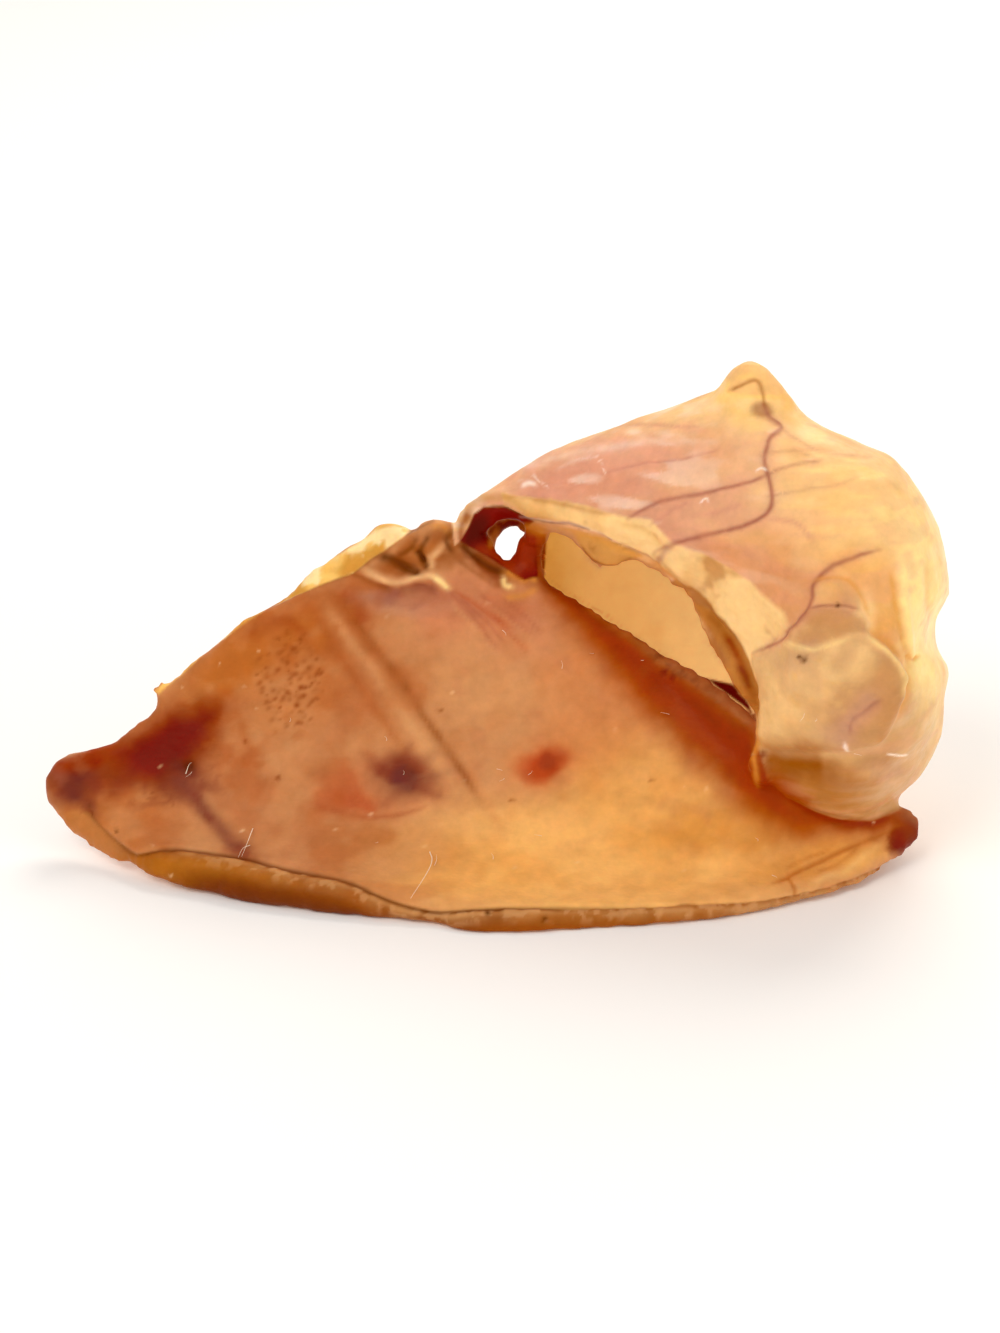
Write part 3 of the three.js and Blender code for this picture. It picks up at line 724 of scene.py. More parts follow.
hoodPatches = [
    ((700, 520), (320, 220), 0, "cream", 1.0), ((600, 476), (140, 40), -18, "rose", 0.9),
    ((560, 480), (60, 22), -14, "roseDeep", 0.4), ((700, 510), (80, 24), -8, "roseDeep", 0.55),
    ((720, 470), (60, 30), -10, "rose", 0.5), ((650, 532), (60, 16), 10, "roseDeep", 0.4),
    ((744, 566), (60, 22), 28, "rose", 0.65), ((756, 388), (66, 38), 0, "peakPale", 0.85),
    ((764, 410), (13, 10), 10, "umber", 0.8), ((860, 500), (80, 70), 30, "peach", 0.7),
    # the pale cream down the right margin is partly painted light coming through the thin edge
    ((925, 610), (28, 150), 0, "paleCream", 0.95), ((920, 476), (34, 70), -28, "peach", 0.8),
    ((850, 575), (44, 30), -8, "peak", 0.55), ((886, 620), (16, 60), 0, "peakAmber", 0.6),
    ((900, 745), (46, 60), 0, "beige", 0.8), ((840, 796), (80, 26), 6, "rollTan", 0.95),
    ((880, 480), (96, 56), 34, "paleCream", 0.5), ((690, 560), (70, 34), 24, "roseDeep", 0.55),
    ((760, 560), (60, 46), 0, "roseTan", 0.7), ((800, 604), (48, 40), 0, "roseTan", 0.85),
    # the umber at the end of the next line is partly painted shade below the pad
    ((640, 506), (54, 24), -4, "roseDeep", 0.5), ((796, 744), (50, 14), 0, "umber", 0.5),
    # the copper at the end of the next line is painted shade where the bulb meets the leaf
    ((892, 794), (34, 22), -20, "beige", 0.8), ((770, 788), (26, 24), 0, "copper", 0.8),
]

# Painted lines: points, half width in pixels, colour, strength, mm raised, how ragged from 0 to 1
leafStrokes = [
    # painted shade on the leaf under the bulb's lower edge
    ([(764, 756), (776, 784), (800, 806), (830, 820), (866, 824), (898, 814)],
     6, "deepOrange", 1.0, -0.2, 0.1),
    # painted light on the long ridge: a dark line of painted shade on its right, then a painted highlight
    # on its left
    ([(335, 598), (369, 641), (397, 675), (428, 721), (458, 766), (484, 806)],
     5.0, "foldBrown", 0.75, -0.5, 0.5),
    ([(326, 606), (352, 640), (380, 680), (410, 724), (438, 762), (458, 788)],
     8.5, "ridgeTan", 0.6, 0.6, 0.4),
    ([(314, 612), (336, 650), (360, 688), (386, 726), (404, 752)], 5, "rust", 0.55, -0.35, 0.5),
    ([(470, 770), (486, 800), (498, 824)], 4, "salmon", 0.4, -0.15, 0.5),
    ([(170, 775), (184, 786), (196, 800), (209, 816), (226, 836), (246, 858)],
     9, "streak", 0.75, -0.15, 0.3),
    ([(204, 812), (212, 822)], 6, "wine", 0.5, -0.1, 0.4),
    ([(236, 844), (250, 856)], 8, "wine", 0.6, -0.1, 0.3),
    ([(170, 762), (184, 768), (194, 776)], 7, "wineDeep", 0.6, 0, 0.3),
    ([(316, 803), (338, 812), (365, 817), (395, 815), (425, 807)], 3.0, "redLine", 0.4, -0.15, 0.7),
    ([(404, 776), (428, 759), (440, 752)], 6.0, "wineDeep", 0.3, 0, 0.6),
    ([(404, 777), (436, 776), (452, 772)], 5.5, "wineDeep", 0.28, 0, 0.6),
    ([(404, 778), (428, 792), (444, 796)], 6.0, "wine", 0.39, 0, 0.6),
    ([(404, 776), (410, 752), (414, 742)], 5.5, "wine", 0.28, 0, 0.6),
    ([(403, 776), (378, 764), (362, 752)], 6.5, "wine", 0.28, 0, 0.6),
    ([(404, 780), (390, 798), (380, 806)], 6.5, "wine", 0.33, 0, 0.6),
    # painted highlight along the crest's raised fold
    ([(362, 567), (380, 578), (398, 583), (416, 577), (432, 575), (448, 588)],
     4.4, "ridgePale", 0.9, 0.2, 0.2),
    ([(405, 532), (397, 546), (385, 557), (368, 566)], 5.5, "ridgeTan", 0.7, 0.1, 0.4),
    ([(446, 541), (436, 551), (428, 558), (432, 568)], 4.5, "ridgeTan", 0.75, 0.1, 0.3),
    # painted shade in the fold above the crest
    ([(380, 555), (392, 559), (406, 566), (420, 572)], 4.6, "foldDark", 0.9, -1.1, 0.2),
    ([(415, 549), (423, 558), (427, 567)], 3.4, "foldDark", 0.8, -0.8, 0.2),
    ([(439, 549), (432, 558), (432, 568)], 3.0, "ridgePale", 0.5, 0.2, 0.3),
    # painted highlight at the crest's right end
    ([(434, 577), (442, 582), (448, 589)], 3.6, "paleCream", 0.8, 0.2, 0.1),
    # painted shade below the crest
    ([(372, 588), (396, 592), (420, 590), (440, 594)], 5, "plum", 0.35, -0.4, 0.4),
    ([(330, 596), (344, 616), (360, 638), (376, 656)], 6, "rust", 0.6, -0.3, 0.4),
    ([(416, 536), (410, 548), (398, 556)], 3, "foldDark", 0.6, -0.6, 0.4),
    ([(428, 534), (420, 548), (422, 562)], 3, "foldDark", 0.7, -0.7, 0.3),
    ([(452, 530), (446, 540), (452, 552)], 3.6, "foldDark", 0.6, -0.4, 0.3),
    ([(432, 526), (440, 524), (448, 530)], 4, "peakAmber", 0.4, 0.2, 0.4),
    # painted shade below the crest
    ([(398, 590), (418, 587), (436, 588)], 5, "wine", 0.4, -0.4, 0.4),
    ([(352, 574), (366, 580), (390, 592)], 3, "foldBrown", 0.7, -0.5, 0.2),
    ([(340, 590), (356, 604), (364, 626)], 8, "redBrown", 0.5, -0.2, 0.5),
    ([(461, 541), (472, 554), (490, 567), (506, 572)], 4.5, "foldDark", 0.8, -0.4, 0.2),
    ([(458, 560), (474, 572), (494, 584)], 3, "foldBrown", 0.5, -0.3, 0.4),
    # the pale and amber lines on the knob at the lip are painted highlights of glossy beads
    ([(504, 577), (505, 584), (512, 587)], 2.8, "paleCream", 0.95, 0.3, 0.1),
    ([(506, 572), (518, 576), (530, 580)], 4.5, "caramel", 0.8, 0.2, 0.2),
    ([(522, 580), (530, 577), (536, 582)], 2.6, "peakAmber", 0.9, 0, 0.2),
    ([(536, 590), (524, 596), (504, 596)], 3.4, "peakAmber", 0.7, 0, 0.3),
    # painted shade just below the lip
    ([(541, 578), (560, 592), (590, 612), (620, 636)], 6, "chestnut", 0.7, -0.3, 0.3),
    ([(231, 629), (258, 612), (295, 595), (325, 582), (352, 572), (379, 551), (403, 535), (433, 520)],
     2.0, "foldDark", 0.6, -0.35, 0.4),
    ([(590, 606), (620, 628), (650, 650), (672, 666)], 5, "lipTan", 0.8, 0.15, 0.4),
    ([(664, 662), (690, 684), (718, 706), (746, 730)], 8, "lipBrown", 0.6, 0.15, 0.3),
    ([(650, 648), (684, 672), (722, 699), (758, 728)], 5.5, "lipMauve", 0.85, 0.15, 0.3),
    ([(640, 643), (660, 657), (680, 671), (700, 684), (730, 708)], 4.0, "pitPurple", 0.34, -0.2, 0.9),
    ([(690, 700), (716, 722), (742, 746)], 3.5, "pitPurple", 0.35, -0.1, 0.9),
    # painted shade below the lip
    ([(610, 640), (644, 666), (684, 702), (716, 736), (744, 760)], 5, "deepOrange", 0.6, -0.2, 0.3),
    ([(447, 590), (470, 612), (486, 634), (500, 650)], 3.2, "rosyDark", 0.5, -0.3, 0.4),
    ([(455, 592), (486, 612), (512, 628)], 2.6, "redSkin", 0.45, -0.3, 0.4),
    ([(462, 600), (486, 622), (505, 642)], 2.2, "rosyDark", 0.6, -0.35, 0.5),
    ([(478, 592), (505, 613), (530, 634)], 2.2, "rosyDark", 0.55, -0.35, 0.5),
    ([(500, 596), (520, 612), (540, 632)], 2.0, "rosyDark", 0.5, -0.3, 0.5),
    ([(492, 612), (512, 636), (528, 652)], 2.0, "redSkin", 0.45, -0.3, 0.5),
    ([(452, 606), (474, 628), (492, 650)], 2.6, "ridgeTan", 0.4, 0.25, 0.5),
    ([(490, 604), (514, 626), (534, 646)], 2.6, "ridgeTan", 0.4, 0.25, 0.5),
    ([(898, 826), (862, 842), (830, 856), (800, 869), (774, 882)], 2.6, "ochre", 0.8, -0.5, 0.3),
    ([(860, 846), (842, 860), (816, 872)], 2.2, "ochre", 0.5, -0.3, 0.4),
    ([(830, 850), (806, 858), (786, 868)], 2.0, "ochre", 0.5, -0.3, 0.4),
    ([(788, 872), (794, 888), (796, 898)], 2.2, "ochre", 0.7, -0.3, 0.3),
    ([(880, 842), (850, 866), (812, 882)], 4.0, "paleCream", 0.3, 0.25, 0.4),
    ([(88, 800), (94, 822), (110, 840), (134, 853)], 1.6, "foldDark", 0.5, -0.2, 0.5),
    ([(150, 704), (130, 726), (104, 742)], 5, "plum", 0.5, 0, 0.4),
    ([(248, 640), (262, 626), (290, 622), (310, 640)], 6, "redBrown", 0.45, -0.1, 0.7),
    ([(240, 720), (246, 742), (260, 756)], 6, "rust", 0.5, 0, 0.8),
]
hoodStrokes = [
    ([(728, 391), (742, 385), (757, 380), (764, 392), (766, 409)], 2.2, "umber", 0.7, -0.2, 0.3),
    ([(765, 405), (770, 417), (781, 427), (771, 436), (767, 446), (765, 460), (769, 474), (772, 488),
      (772, 502), (766, 514), (752, 523), (730, 529), (704, 535), (680, 541), (655, 551)],
     2.6, "vein", 0.85, 0.3, 0.25),
    ([(769, 474), (754, 480), (738, 486), (718, 490), (700, 494), (680, 497), (660, 502), (642, 511),
      (628, 519)], 2.2, "vein", 0.75, 0.25, 0.3),
    ([(880, 550), (864, 554), (849, 560), (832, 567), (820, 576), (813, 588), (812, 601), (805, 616),
      (794, 629), (784, 641), (770, 646), (755, 652)], 2.4, "vein", 0.8, 0.2, 0.25),
    ([(812, 609), (824, 606), (838, 606), (858, 609)], 1.7, "vein", 0.65, 0.1, 0.2),
    ([(770, 473), (786, 467), (800, 464), (822, 459)], 1.8, "vein", 0.5, 0.1, 0.4),
    ([(768, 452), (790, 450), (812, 455)], 1.6, "vein", 0.3, 0, 0.4),
    ([(781, 427), (805, 443), (828, 452), (871, 456)], 1.7, "vein", 0.35, 0.05, 0.5),
    ([(767, 519), (786, 520), (803, 527), (812, 540)], 2.6, "roseDeep", 0.5, 0.0, 0.4),
    ([(769, 496), (800, 491), (836, 486), (860, 476)], 1.7, "vein", 0.3, 0.05, 0.5),
    ([(551, 447), (590, 432), (640, 425), (700, 426)], 1.8, "roseDeep", 0.5, -0.2, 0.5),
    ([(600, 474), (640, 464), (690, 457), (720, 449)], 1.8, "roseDeep", 0.6, -0.2, 0.5),
    # painted highlight: a broad sheen line on the hood's upper left
    ([(520, 470), (560, 458), (610, 448), (660, 440)], 4.5, "paintedHighlight", 0.28, 0.1, 0.8),
    ([(690, 500), (668, 512), (650, 526)], 1.8, "roseDeep", 0.5, -0.1, 0.5),
    ([(740, 505), (716, 512), (690, 516)], 3.0, "roseDeep", 0.4, 0, 0.6),
    # painted highlights: small glints on the hood
    ([(533, 474), (541, 482), (549, 486)], 0.9, "paintedHighlight", 0.45, 0.05, 0.1),
    ([(597, 456), (602, 464), (606, 474)], 0.9, "paintedHighlight", 0.45, 0.05, 0.1),
    ([(522, 486), (530, 483), (537, 485)], 2.2, "paintedHighlight", 0.7, 0.1, 0.4),
    ([(556, 470), (572, 462), (598, 457)], 1.6, "paintedHighlight", 0.25, 0.05, 0.5),
    ([(700, 502), (706, 498), (710, 502)], 1.1, "paintedHighlight", 0.7, 0.1, 0.1),
    ([(757, 470), (762, 468), (768, 470)], 1.1, "paintedHighlight", 0.7, 0.1, 0.1),
    # painted shade in the dimple on the pad: a dark crease line and a lilac hollow
    ([(850, 730), (853, 718), (864, 710), (877, 698)], 2.2, "vein", 0.7, -0.6, 0.2),
    ([(842, 744), (846, 726), (858, 708), (872, 690)], 11, "lilac", 0.7, -0.7, 0.2),
    # painted light at the pads' edges: highlights just inside their rims, shade just outside
    ([(866, 638), (882, 651), (892, 662), (898, 677), (896, 692)], 3.0, "paleCream", 0.75, 0.3, 0.2),
    ([(789, 643), (812, 648), (830, 645), (848, 638)], 2.4, "paleCream", 0.5, 0.2, 0.3),
    ([(868, 630), (888, 645), (900, 658), (907, 676), (905, 696), (896, 716)],
     3.2, "peakAmber", 0.7, -0.5, 0.2),
    ([(812, 582), (826, 578), (846, 580), (860, 594), (870, 618)], 2.4, "peakAmber", 0.6, -0.35, 0.4),
    # painted highlight on the raised fold of the right margin
    ([(903, 560), (906, 600), (910, 640), (911, 662)], 3.4, "paleCream", 0.8, 0.6, 0.2),
    ([(892, 570), (898, 610), (903, 640), (910, 668)], 4.0, "peakAmber", 0.8, -0.5, 0.3),
    ([(907, 655), (913, 660), (918, 656)], 2.2, "peakAmber", 0.7, -0.4, 0.2),
    ([(927, 560), (928, 600), (930, 622)], 4, "peach", 0.6, -0.3, 0.3),
    # a darker band across the bulb below the pad: partly painted shade, partly the skin's own darker tone
    ([(764, 757), (785, 764), (804, 766), (826, 767)], 12, "umber", 1.0, -0.25, 0.1),
    ([(806, 764), (836, 766), (866, 764), (894, 758)], 13, "umber", 0.5, -0.1, 0.3),
    ([(764, 766), (800, 774), (846, 778)], 13, "umber", 0.65, 0, 0.1),
    ([(868, 770), (884, 772), (904, 768)], 12, "lilac", 0.4, -0.1, 0.4),
    # painted shade where the bulb meets the leaf
    ([(768, 780), (786, 796), (812, 806)], 9, "copper", 0.85, 0, 0.2),
    # painted highlights: glints on the bulb
    ([(886, 754), (896, 755), (906, 755)], 1.0, "paintedHighlight", 0.8, 0.05, 0.1),
    ([(845, 740), (847, 747), (848, 750)], 1.8, "paintedHighlight", 0.7, 0.1, 0.1),
    ([(786, 798), (815, 811), (841, 818), (873, 820), (899, 809)], 3, "umber", 0.7, -0.1, 0.2),
    ([(757, 690), (762, 720), (766, 750)], 5, "fatGrey", 0.6, 0, 0.3),
    ([(502, 497), (540, 500), (578, 509), (610, 514)], 2.4, "fatLine", 0.5, -0.2, 0.4),
    ([(624, 524), (644, 530), (662, 546)], 3, "fatGrey", 0.6, -0.3, 0.5),
    ([(668, 545), (662, 556), (656, 566)], 4, "lilac", 0.8, -0.5, 0.4),
    ([(464, 530), (470, 508), (486, 500), (510, 500), (532, 512), (560, 519)],
     5.5, "rollTan", 0.6, 0.2, 0.3),
    ([(461, 541), (462, 526), (469, 512)], 4.5, "foldBrown", 0.8, 0, 0.2),
    ([(478, 508), (492, 503), (512, 506), (530, 516)], 2.2, "roseDeep", 0.5, 0.1, 0.4),
]
# drawn last, over the hood's rim and the mouth
rimStrokes = [
    ([(486, 508), (504, 507), (532, 519), (569, 523), (590, 528)], 1.7, "foldDark", 0.7, -0.1, 0.3),
    # painted highlight: a faint sheen along the rim's fat
    ([(520, 517), (560, 521), (596, 529), (622, 542)], 1.4, "paintedHighlight", 0.25, 0, 0.5),
    ([(560, 527), (600, 538), (626, 551), (664, 568), (688, 592)], 3.4, "peakAmber", 0.7, 0.05, 0.5),
    ([(601, 531), (624, 546), (652, 558)], 1.8, "foldBrown", 0.5, 0, 0.7),
    ([(654, 553), (672, 570), (692, 588), (716, 612), (738, 640), (750, 668), (757, 690)],
     2.4, "fatLine", 0.5, -0.1, 0.5),
    ([(700, 610), (714, 620), (728, 638), (740, 660), (748, 684), (755, 708)],
     4.6, "umber", 0.8, 0, 0.4),
    ([(706, 628), (718, 648), (728, 664)], 3.5, "lilacGrey", 0.4, 0, 0.5),
    ([(726, 636), (738, 656), (745, 676)], 4.2, "redBrown", 0.8, -0.1, 0.4),
    ([(738, 666), (745, 678), (748, 690)], 3.6, "darkRed", 0.8, -0.1, 0.3),
    ([(690, 606), (700, 622), (712, 640)], 2.2, "ridgePale", 0.5, 0, 0.5),
    ([(582, 546), (590, 558), (604, 566), (618, 565), (630, 558)], 1.6, "foldBrown", 0.7, 0, 0.5),
    ([(590, 545), (594, 552)], 2.2, "foldBrown", 0.5, 0, 0.3),
    ([(760, 719), (761, 739), (755, 756), (758, 785)], 2.6, "peakAmber", 0.85, 0.2, 0.3),
    ([(541, 575), (578, 598), (614, 621), (654, 649), (683, 665), (704, 683), (748, 711)],
     1.5, "foldBrown", 0.35, 0, 0.7),
]

# How much of its colour a pit or a dot shows
spotStrength = 0.9
# Pits and dots: x, y, radius, colour, depth in mm
spots = [
    (189, 767, 5, "darkLine", 0.5), (808, 658, 3, "darkLine", 0.3), (804, 655, 2, "darkLine", 0.2),
    (838, 606, 2, "darkLine", 0.2), (664, 672, 3.4, "darkRed", 0.5), (672, 677, 2.4, "darkRed", 0.3),
    # the dark red spot at 764, 754 is painted shade where the hood's rim meets the leaf
    (278, 778, 3, "pit", 0.2), (297, 705, 3, "pit", 0.2), (764, 754, 4, "darkRed", 0.6),
    (245, 742, 2.4, "pit", 0.2), (545, 919, 3, "darkLine", 0.3), (488, 913, 3, "darkLine", 0.3),
    (652, 780, 2, "pit", 0.1), (512, 800, 2, "pit", 0.1), (117, 831, 1.8, "darkLine", 0.1),
    (153, 793, 2, "pitPurple", 0.2), (440, 710, 2, "pit", 0.1),
]
# Small scattered marks: middle, half widths, turn, size of a mark in mm, threshold, colour, strength
markFields = [
    ((250, 740), (60, 50), 0, 2.4, 0.6, "rust", 0.5),
    ((675, 670), (44, 10), 36, 1.4, 0.56, "pitPurple", 0.45),
    ((330, 640), (50, 30), -30, 2.2, 0.58, "rust", 0.5),
    ((600, 720), (240, 160), 20, 4.0, 0.6, "rosyDark", 0.15),
    ((170, 780), (60, 40), 0, 1.8, 0.58, "wine", 0.4),
    ((810, 690), (44, 60), 0, 1.8, 0.62, "fatGrey", 0.5),
]
# painted highlights: pale glinting flecks over the leaf, each a little raised
paintedGlintFlecks = {
    "count": 46, "seed": 11, "across": (110, 890), "down": (600, 890),
    "size": (0.8, 1.4), "stretch": (0.6, 1.6), "strength": (0.25, 0.7), "raised": 0.08,
}
pits = {
    "count": 130, "seed": 21, "middle": (290, 680), "reach": (34, 50), "crowding": 0.6, "slant": 0.7,
    "size": (1.0, 2.6), "stretch": (1.0, 1.9), "strength": (0.15, 0.7), "depth": 0.12,
}

# Clouds over the skin: size in metres, seed and sometimes how many layers
skinClouds = {
    "big": (0.022, 5), "mid": (0.008, 6), "fine": (0.0025, 7), "grain": (0.0012, 8, 2),
    "wander": ((0.007, 1), (0.007, 2)), "jitter": ((0.0018, 3), (0.0018, 4)),
}
# How far painted borders wander in pixels, by the wide clouds and by the small ones
borders = {"loose": (18, 7), "close": (4, 2)}

# The hollow's far wall: metres behind the ear's middle, how it faces, pixels around the mouth's outline
hollowWall = {
    "deep": (0.012, 0.016), "far": (0.022, 0.025), "near": (0.022, 0.018), "facing": (0.1, -0.2),
    "mouthEdge": 1.2, "hoodEdge": 1.6, "around": (30, 20), "reach": 34,
    "left": (505, 535), "right": (752, 742),
}


# Painting: every function takes the colour of each vertex and gives it back with more on it
def blendIn(colour, name, weight):
    weight = np.clip(weight, 0, 1)[:, None]
    return colour * (1 - weight) + linear(palette[name]) * weight


def plain(name, count):
    # one colour for so many vertices
    return np.tile(linear(palette[name]), (count, 1))


def addPatches(colour, pixel, patches, area=1.0):
    # soft ovals of colour within an area
    for middle, reach, turn, name, strength in patches:
        colour = blendIn(colour, name, area * patchWeight(pixel, middle, reach, turn) * strength)
    return colour


def addMottles(colour, values, mottles, area):
    # colours that come where a cloud passes from the first to the second of two values
    for name, step, strength in mottles:
        colour = blendIn(colour, name, area * smooth(*step, values) * strength)
    return colour


def readSkin(piece):
    # all that the painting needs to know of each vertex
    place, normal, ends = readMesh(piece)
    pixel = toPixel(place)
    behind = depthBehindSeen(place, facesTree(piece))
    seen = soften((behind < skinMesh["seenDepth"]).astype(float), ends, 2)
    hollow = np.empty(len(place))
    piece.data.attributes["hollow"].data.foreach_get("value", hollow)
    skin = {
        "place": place, "normal": normal, "ends": ends, "pixel": pixel,
        "behind": behind, "seen": seen, "hollow": hollow, "relief": np.zeros(len(place)),
    }
    for name in ("big", "mid", "fine", "grain"):
        skin[name] = cloud(place, *skinClouds[name])
    wander = np.column_stack([cloud(place, *values) for values in skinClouds["wander"]]) - 0.5
    jitter = np.column_stack([cloud(place, *values) for values in skinClouds["jitter"]]) - 0.5
    for name, (wide, small) in borders.items():
        skin[name] = pixel + wander * wide + jitter * small

    mouth = within(pixel, parts["mouth"], hollowWall["mouthEdge"])
    deep = smooth(*hollowWall["deep"], place[:, 1])
    # the wall goes on where the lip and the rim stand in front of it
    ring = np.array(parts["mouth"], float)
    farWall = smooth(*hollowWall["around"], nearLine(pixel, ring, hollowWall["reach"])[0])
    farWall *= smooth(*hollowWall["far"], place[:, 1]) * smooth(*hollowWall["facing"], normal[:, 1])
    farWall *= smooth(*hollowWall["right"], pixel[:, 0]) * smooth(*hollowWall["left"], pixel[:, 0])
    hood = within(pixel, parts["hood"], hollowWall["hoodEdge"])
    skin["mouth"] = mouth
    skin["near"] = smooth(*hollowWall["near"], place[:, 1])
    skin["wall"] = np.maximum(mouth * seen * deep, farWall)
    skin["hoodAll"] = np.maximum(hood, np.maximum(mouth * deep, farWall))
    skin["hood"] = skin["hoodAll"] * seen * (1 - skin["wall"])
    skin["leaf"] = (1 - skin["hoodAll"]) * seen
    return skin


# How a painted line tapers and frays along its length, and the blush on both sides of a vein
strokeLook = {
    "start": (-0.02, 0.12), "end": (1.02, 0.88), "ends": 0.4,
    "frayed": (0.35, 0.7), "width": (0.75, 0.5), "relief": 0.6, "reach": 4, "margin": 6,
    "blush": "rose", "blushWidth": 3.2, "blushStrength": 0.45,
}


def drawStrokes(colour, skin, strokes, area):
    look = strokeLook
    for points, width, name, strength, raised, ragged in strokes:
        gap, along = nearLine(skin["close"], bend(points), width * look["reach"] + look["margin"])
        taper = smooth(*look["start"], along) * smooth(*look["end"], along)
        rough = 1 - ragged * smooth(*look["frayed"], skin["fine"] * 0.5 + skin["mid"] * 0.5)
        reach = width * (look["width"][0] + look["width"][1] * skin["mid"])
        touch = np.exp(-(gap / reach) ** 2) * area
        if name == "vein":
            blush = np.exp(-(gap / (reach * look["blushWidth"])) ** 2) * area
            colour = blendIn(colour, look["blush"], blush * strength * look["blushStrength"] * taper)
        ends = look["ends"] + (1 - look["ends"]) * taper
        colour = blendIn(colour, name, touch * strength * rough * ends)
        relief = look["relief"] + (1 - look["relief"]) * rough
        skin["relief"] += touch * taper * raised * relief
    return colour


# What the camera doesn't see: metres behind the seen skin, the hood's soft edge, mottles, faint veins and
# painted shade in the hollow
hiddenLook = {
    "behind": (0.003, 0.02), "hoodEdge": 46, "strength": 0.4,
    "bigMottles": [("cream", (0.46, 0.66), 0.4), ("rosy", (0.5, 0.32), 0.5)],
    "midMottles": [("rust", (0.5, 0.72), 0.25)],
    "veins": (0.018, 31, 2), "veinBends": (0.004, 32, 2), "bendShare": 0.05,
    "veinWidth": (0.022, 0.004), "veinGaps": (0.03, 33, 2), "veinOpen": (0.4, 0.6),
    "veinStrength": 0.5, "veinRaised": 0.25, "paintedHollowShade": 0.6,
}


def paintHidden(skin):
    # goes on from what the camera sees, with mottles and faint veins of its own
    look, place, loose = hiddenLook, skin["place"], skin["loose"]
    leafBase = addPatches(plain("tan", len(place)), loose, leafPatches)
    hoodBase = addPatches(plain("cream", len(place)), loose, hoodPatches)
    away = smooth(*look["behind"], skin["behind"])
    edge = look["hoodEdge"]
    broad = np.maximum(within(loose, parts["hood"], edge), within(loose, parts["mouth"], edge))
    hoodAll = (skin["hoodAll"] * (1 - away) + broad * away)[:, None]
    colour = leafBase * (1 - hoodAll) + hoodBase * hoodAll
    colour = blendIn(colour, "hidden", away * look["strength"])
    colour = addMottles(colour, skin["big"], look["bigMottles"], away)
    colour = addMottles(colour, skin["mid"], look["midMottles"], away)
    veins = np.abs(cloud(place, *look["veins"]) - 0.5)
    veins += look["bendShare"] * np.abs(cloud(place, *look["veinBends"]) - 0.5)
    branch = smooth(*look["veinWidth"], veins) * smooth(*look["veinOpen"], cloud(place, *look["veinGaps"]))
    colour = blendIn(colour, "vein", away * branch * look["veinStrength"] * (1 - skin["hollow"]))
    skin["relief"] += away * branch * look["veinRaised"]
    # painted shade: skin inside the hollow, facing other skin, goes over to the deep wall colour
    return blendIn(colour, "wallDeep", skin["hollow"] * away * look["paintedHollowShade"])


# The hood's streaks with their painted sheen, the fat along its rim and the three pads at its right-hand
# foot
hoodLook = {
    "stretch": (0.35, 1.0, 2.4), "streaks": (0.006, 9), "streakRaised": 0.5, "upperLeft": (800, 560),
    # colour, from and to which cloud value, strength everywhere and more of it at the upper left; the
    # near-white streaks are painted sheen
    "streakColours": [("rose", (0.5, 0.64), 0.25, 0.3), ("paintedHighlight", (0.46, 0.3), 0.08, 0.28)],
    "edges": {"rimFat": 2.0, "pad": 5.5, "upperPad": 5, "greyPad": 3.5, "rimBrown": 2.0},
    "padBorder": (0.4, 0.6), "padFoot": (758, 738), "padClouds": (0.0065, 41),
    # of the upper pad, the grey one and the large one
    "padColours": [("fatGrey", 0.5), ("greySkin", 0.8), ("padCream", 0.85)],
    "padMottles": [("fatPale", (0.5, 0.66), 0.5), ("lilac", (0.48, 0.3), 0.4)],
    "padPatches": [
        # the umber patch under the pad is partly painted shade; the grey one is painted shade in the dimple
        ((790, 750), (50, 18), 0, "umber", 0.55), ((790, 690), (34, 60), 0, "fatPale", 0.25),
        ((872, 706), (36, 50), 20, "greySkin", 0.9),
    ],
    "rimPale": 0.9, "rimMottles": [("fatGrey", (0.44, 0.7), 0.6)],
    "rimLeft": [("peakAmber", (640, 520), 0.25)],
    "rimLumps": (0.005, 21), "rimLines": [("fatLine", (-0.12, -0.3), 0.5)],
    "raised": {"pad": 1.5, "greyPad": 1.1, "upperPad": 0.6, "rim": 0.5, "lumps": 2.2},
    "brown": 0.8,
}


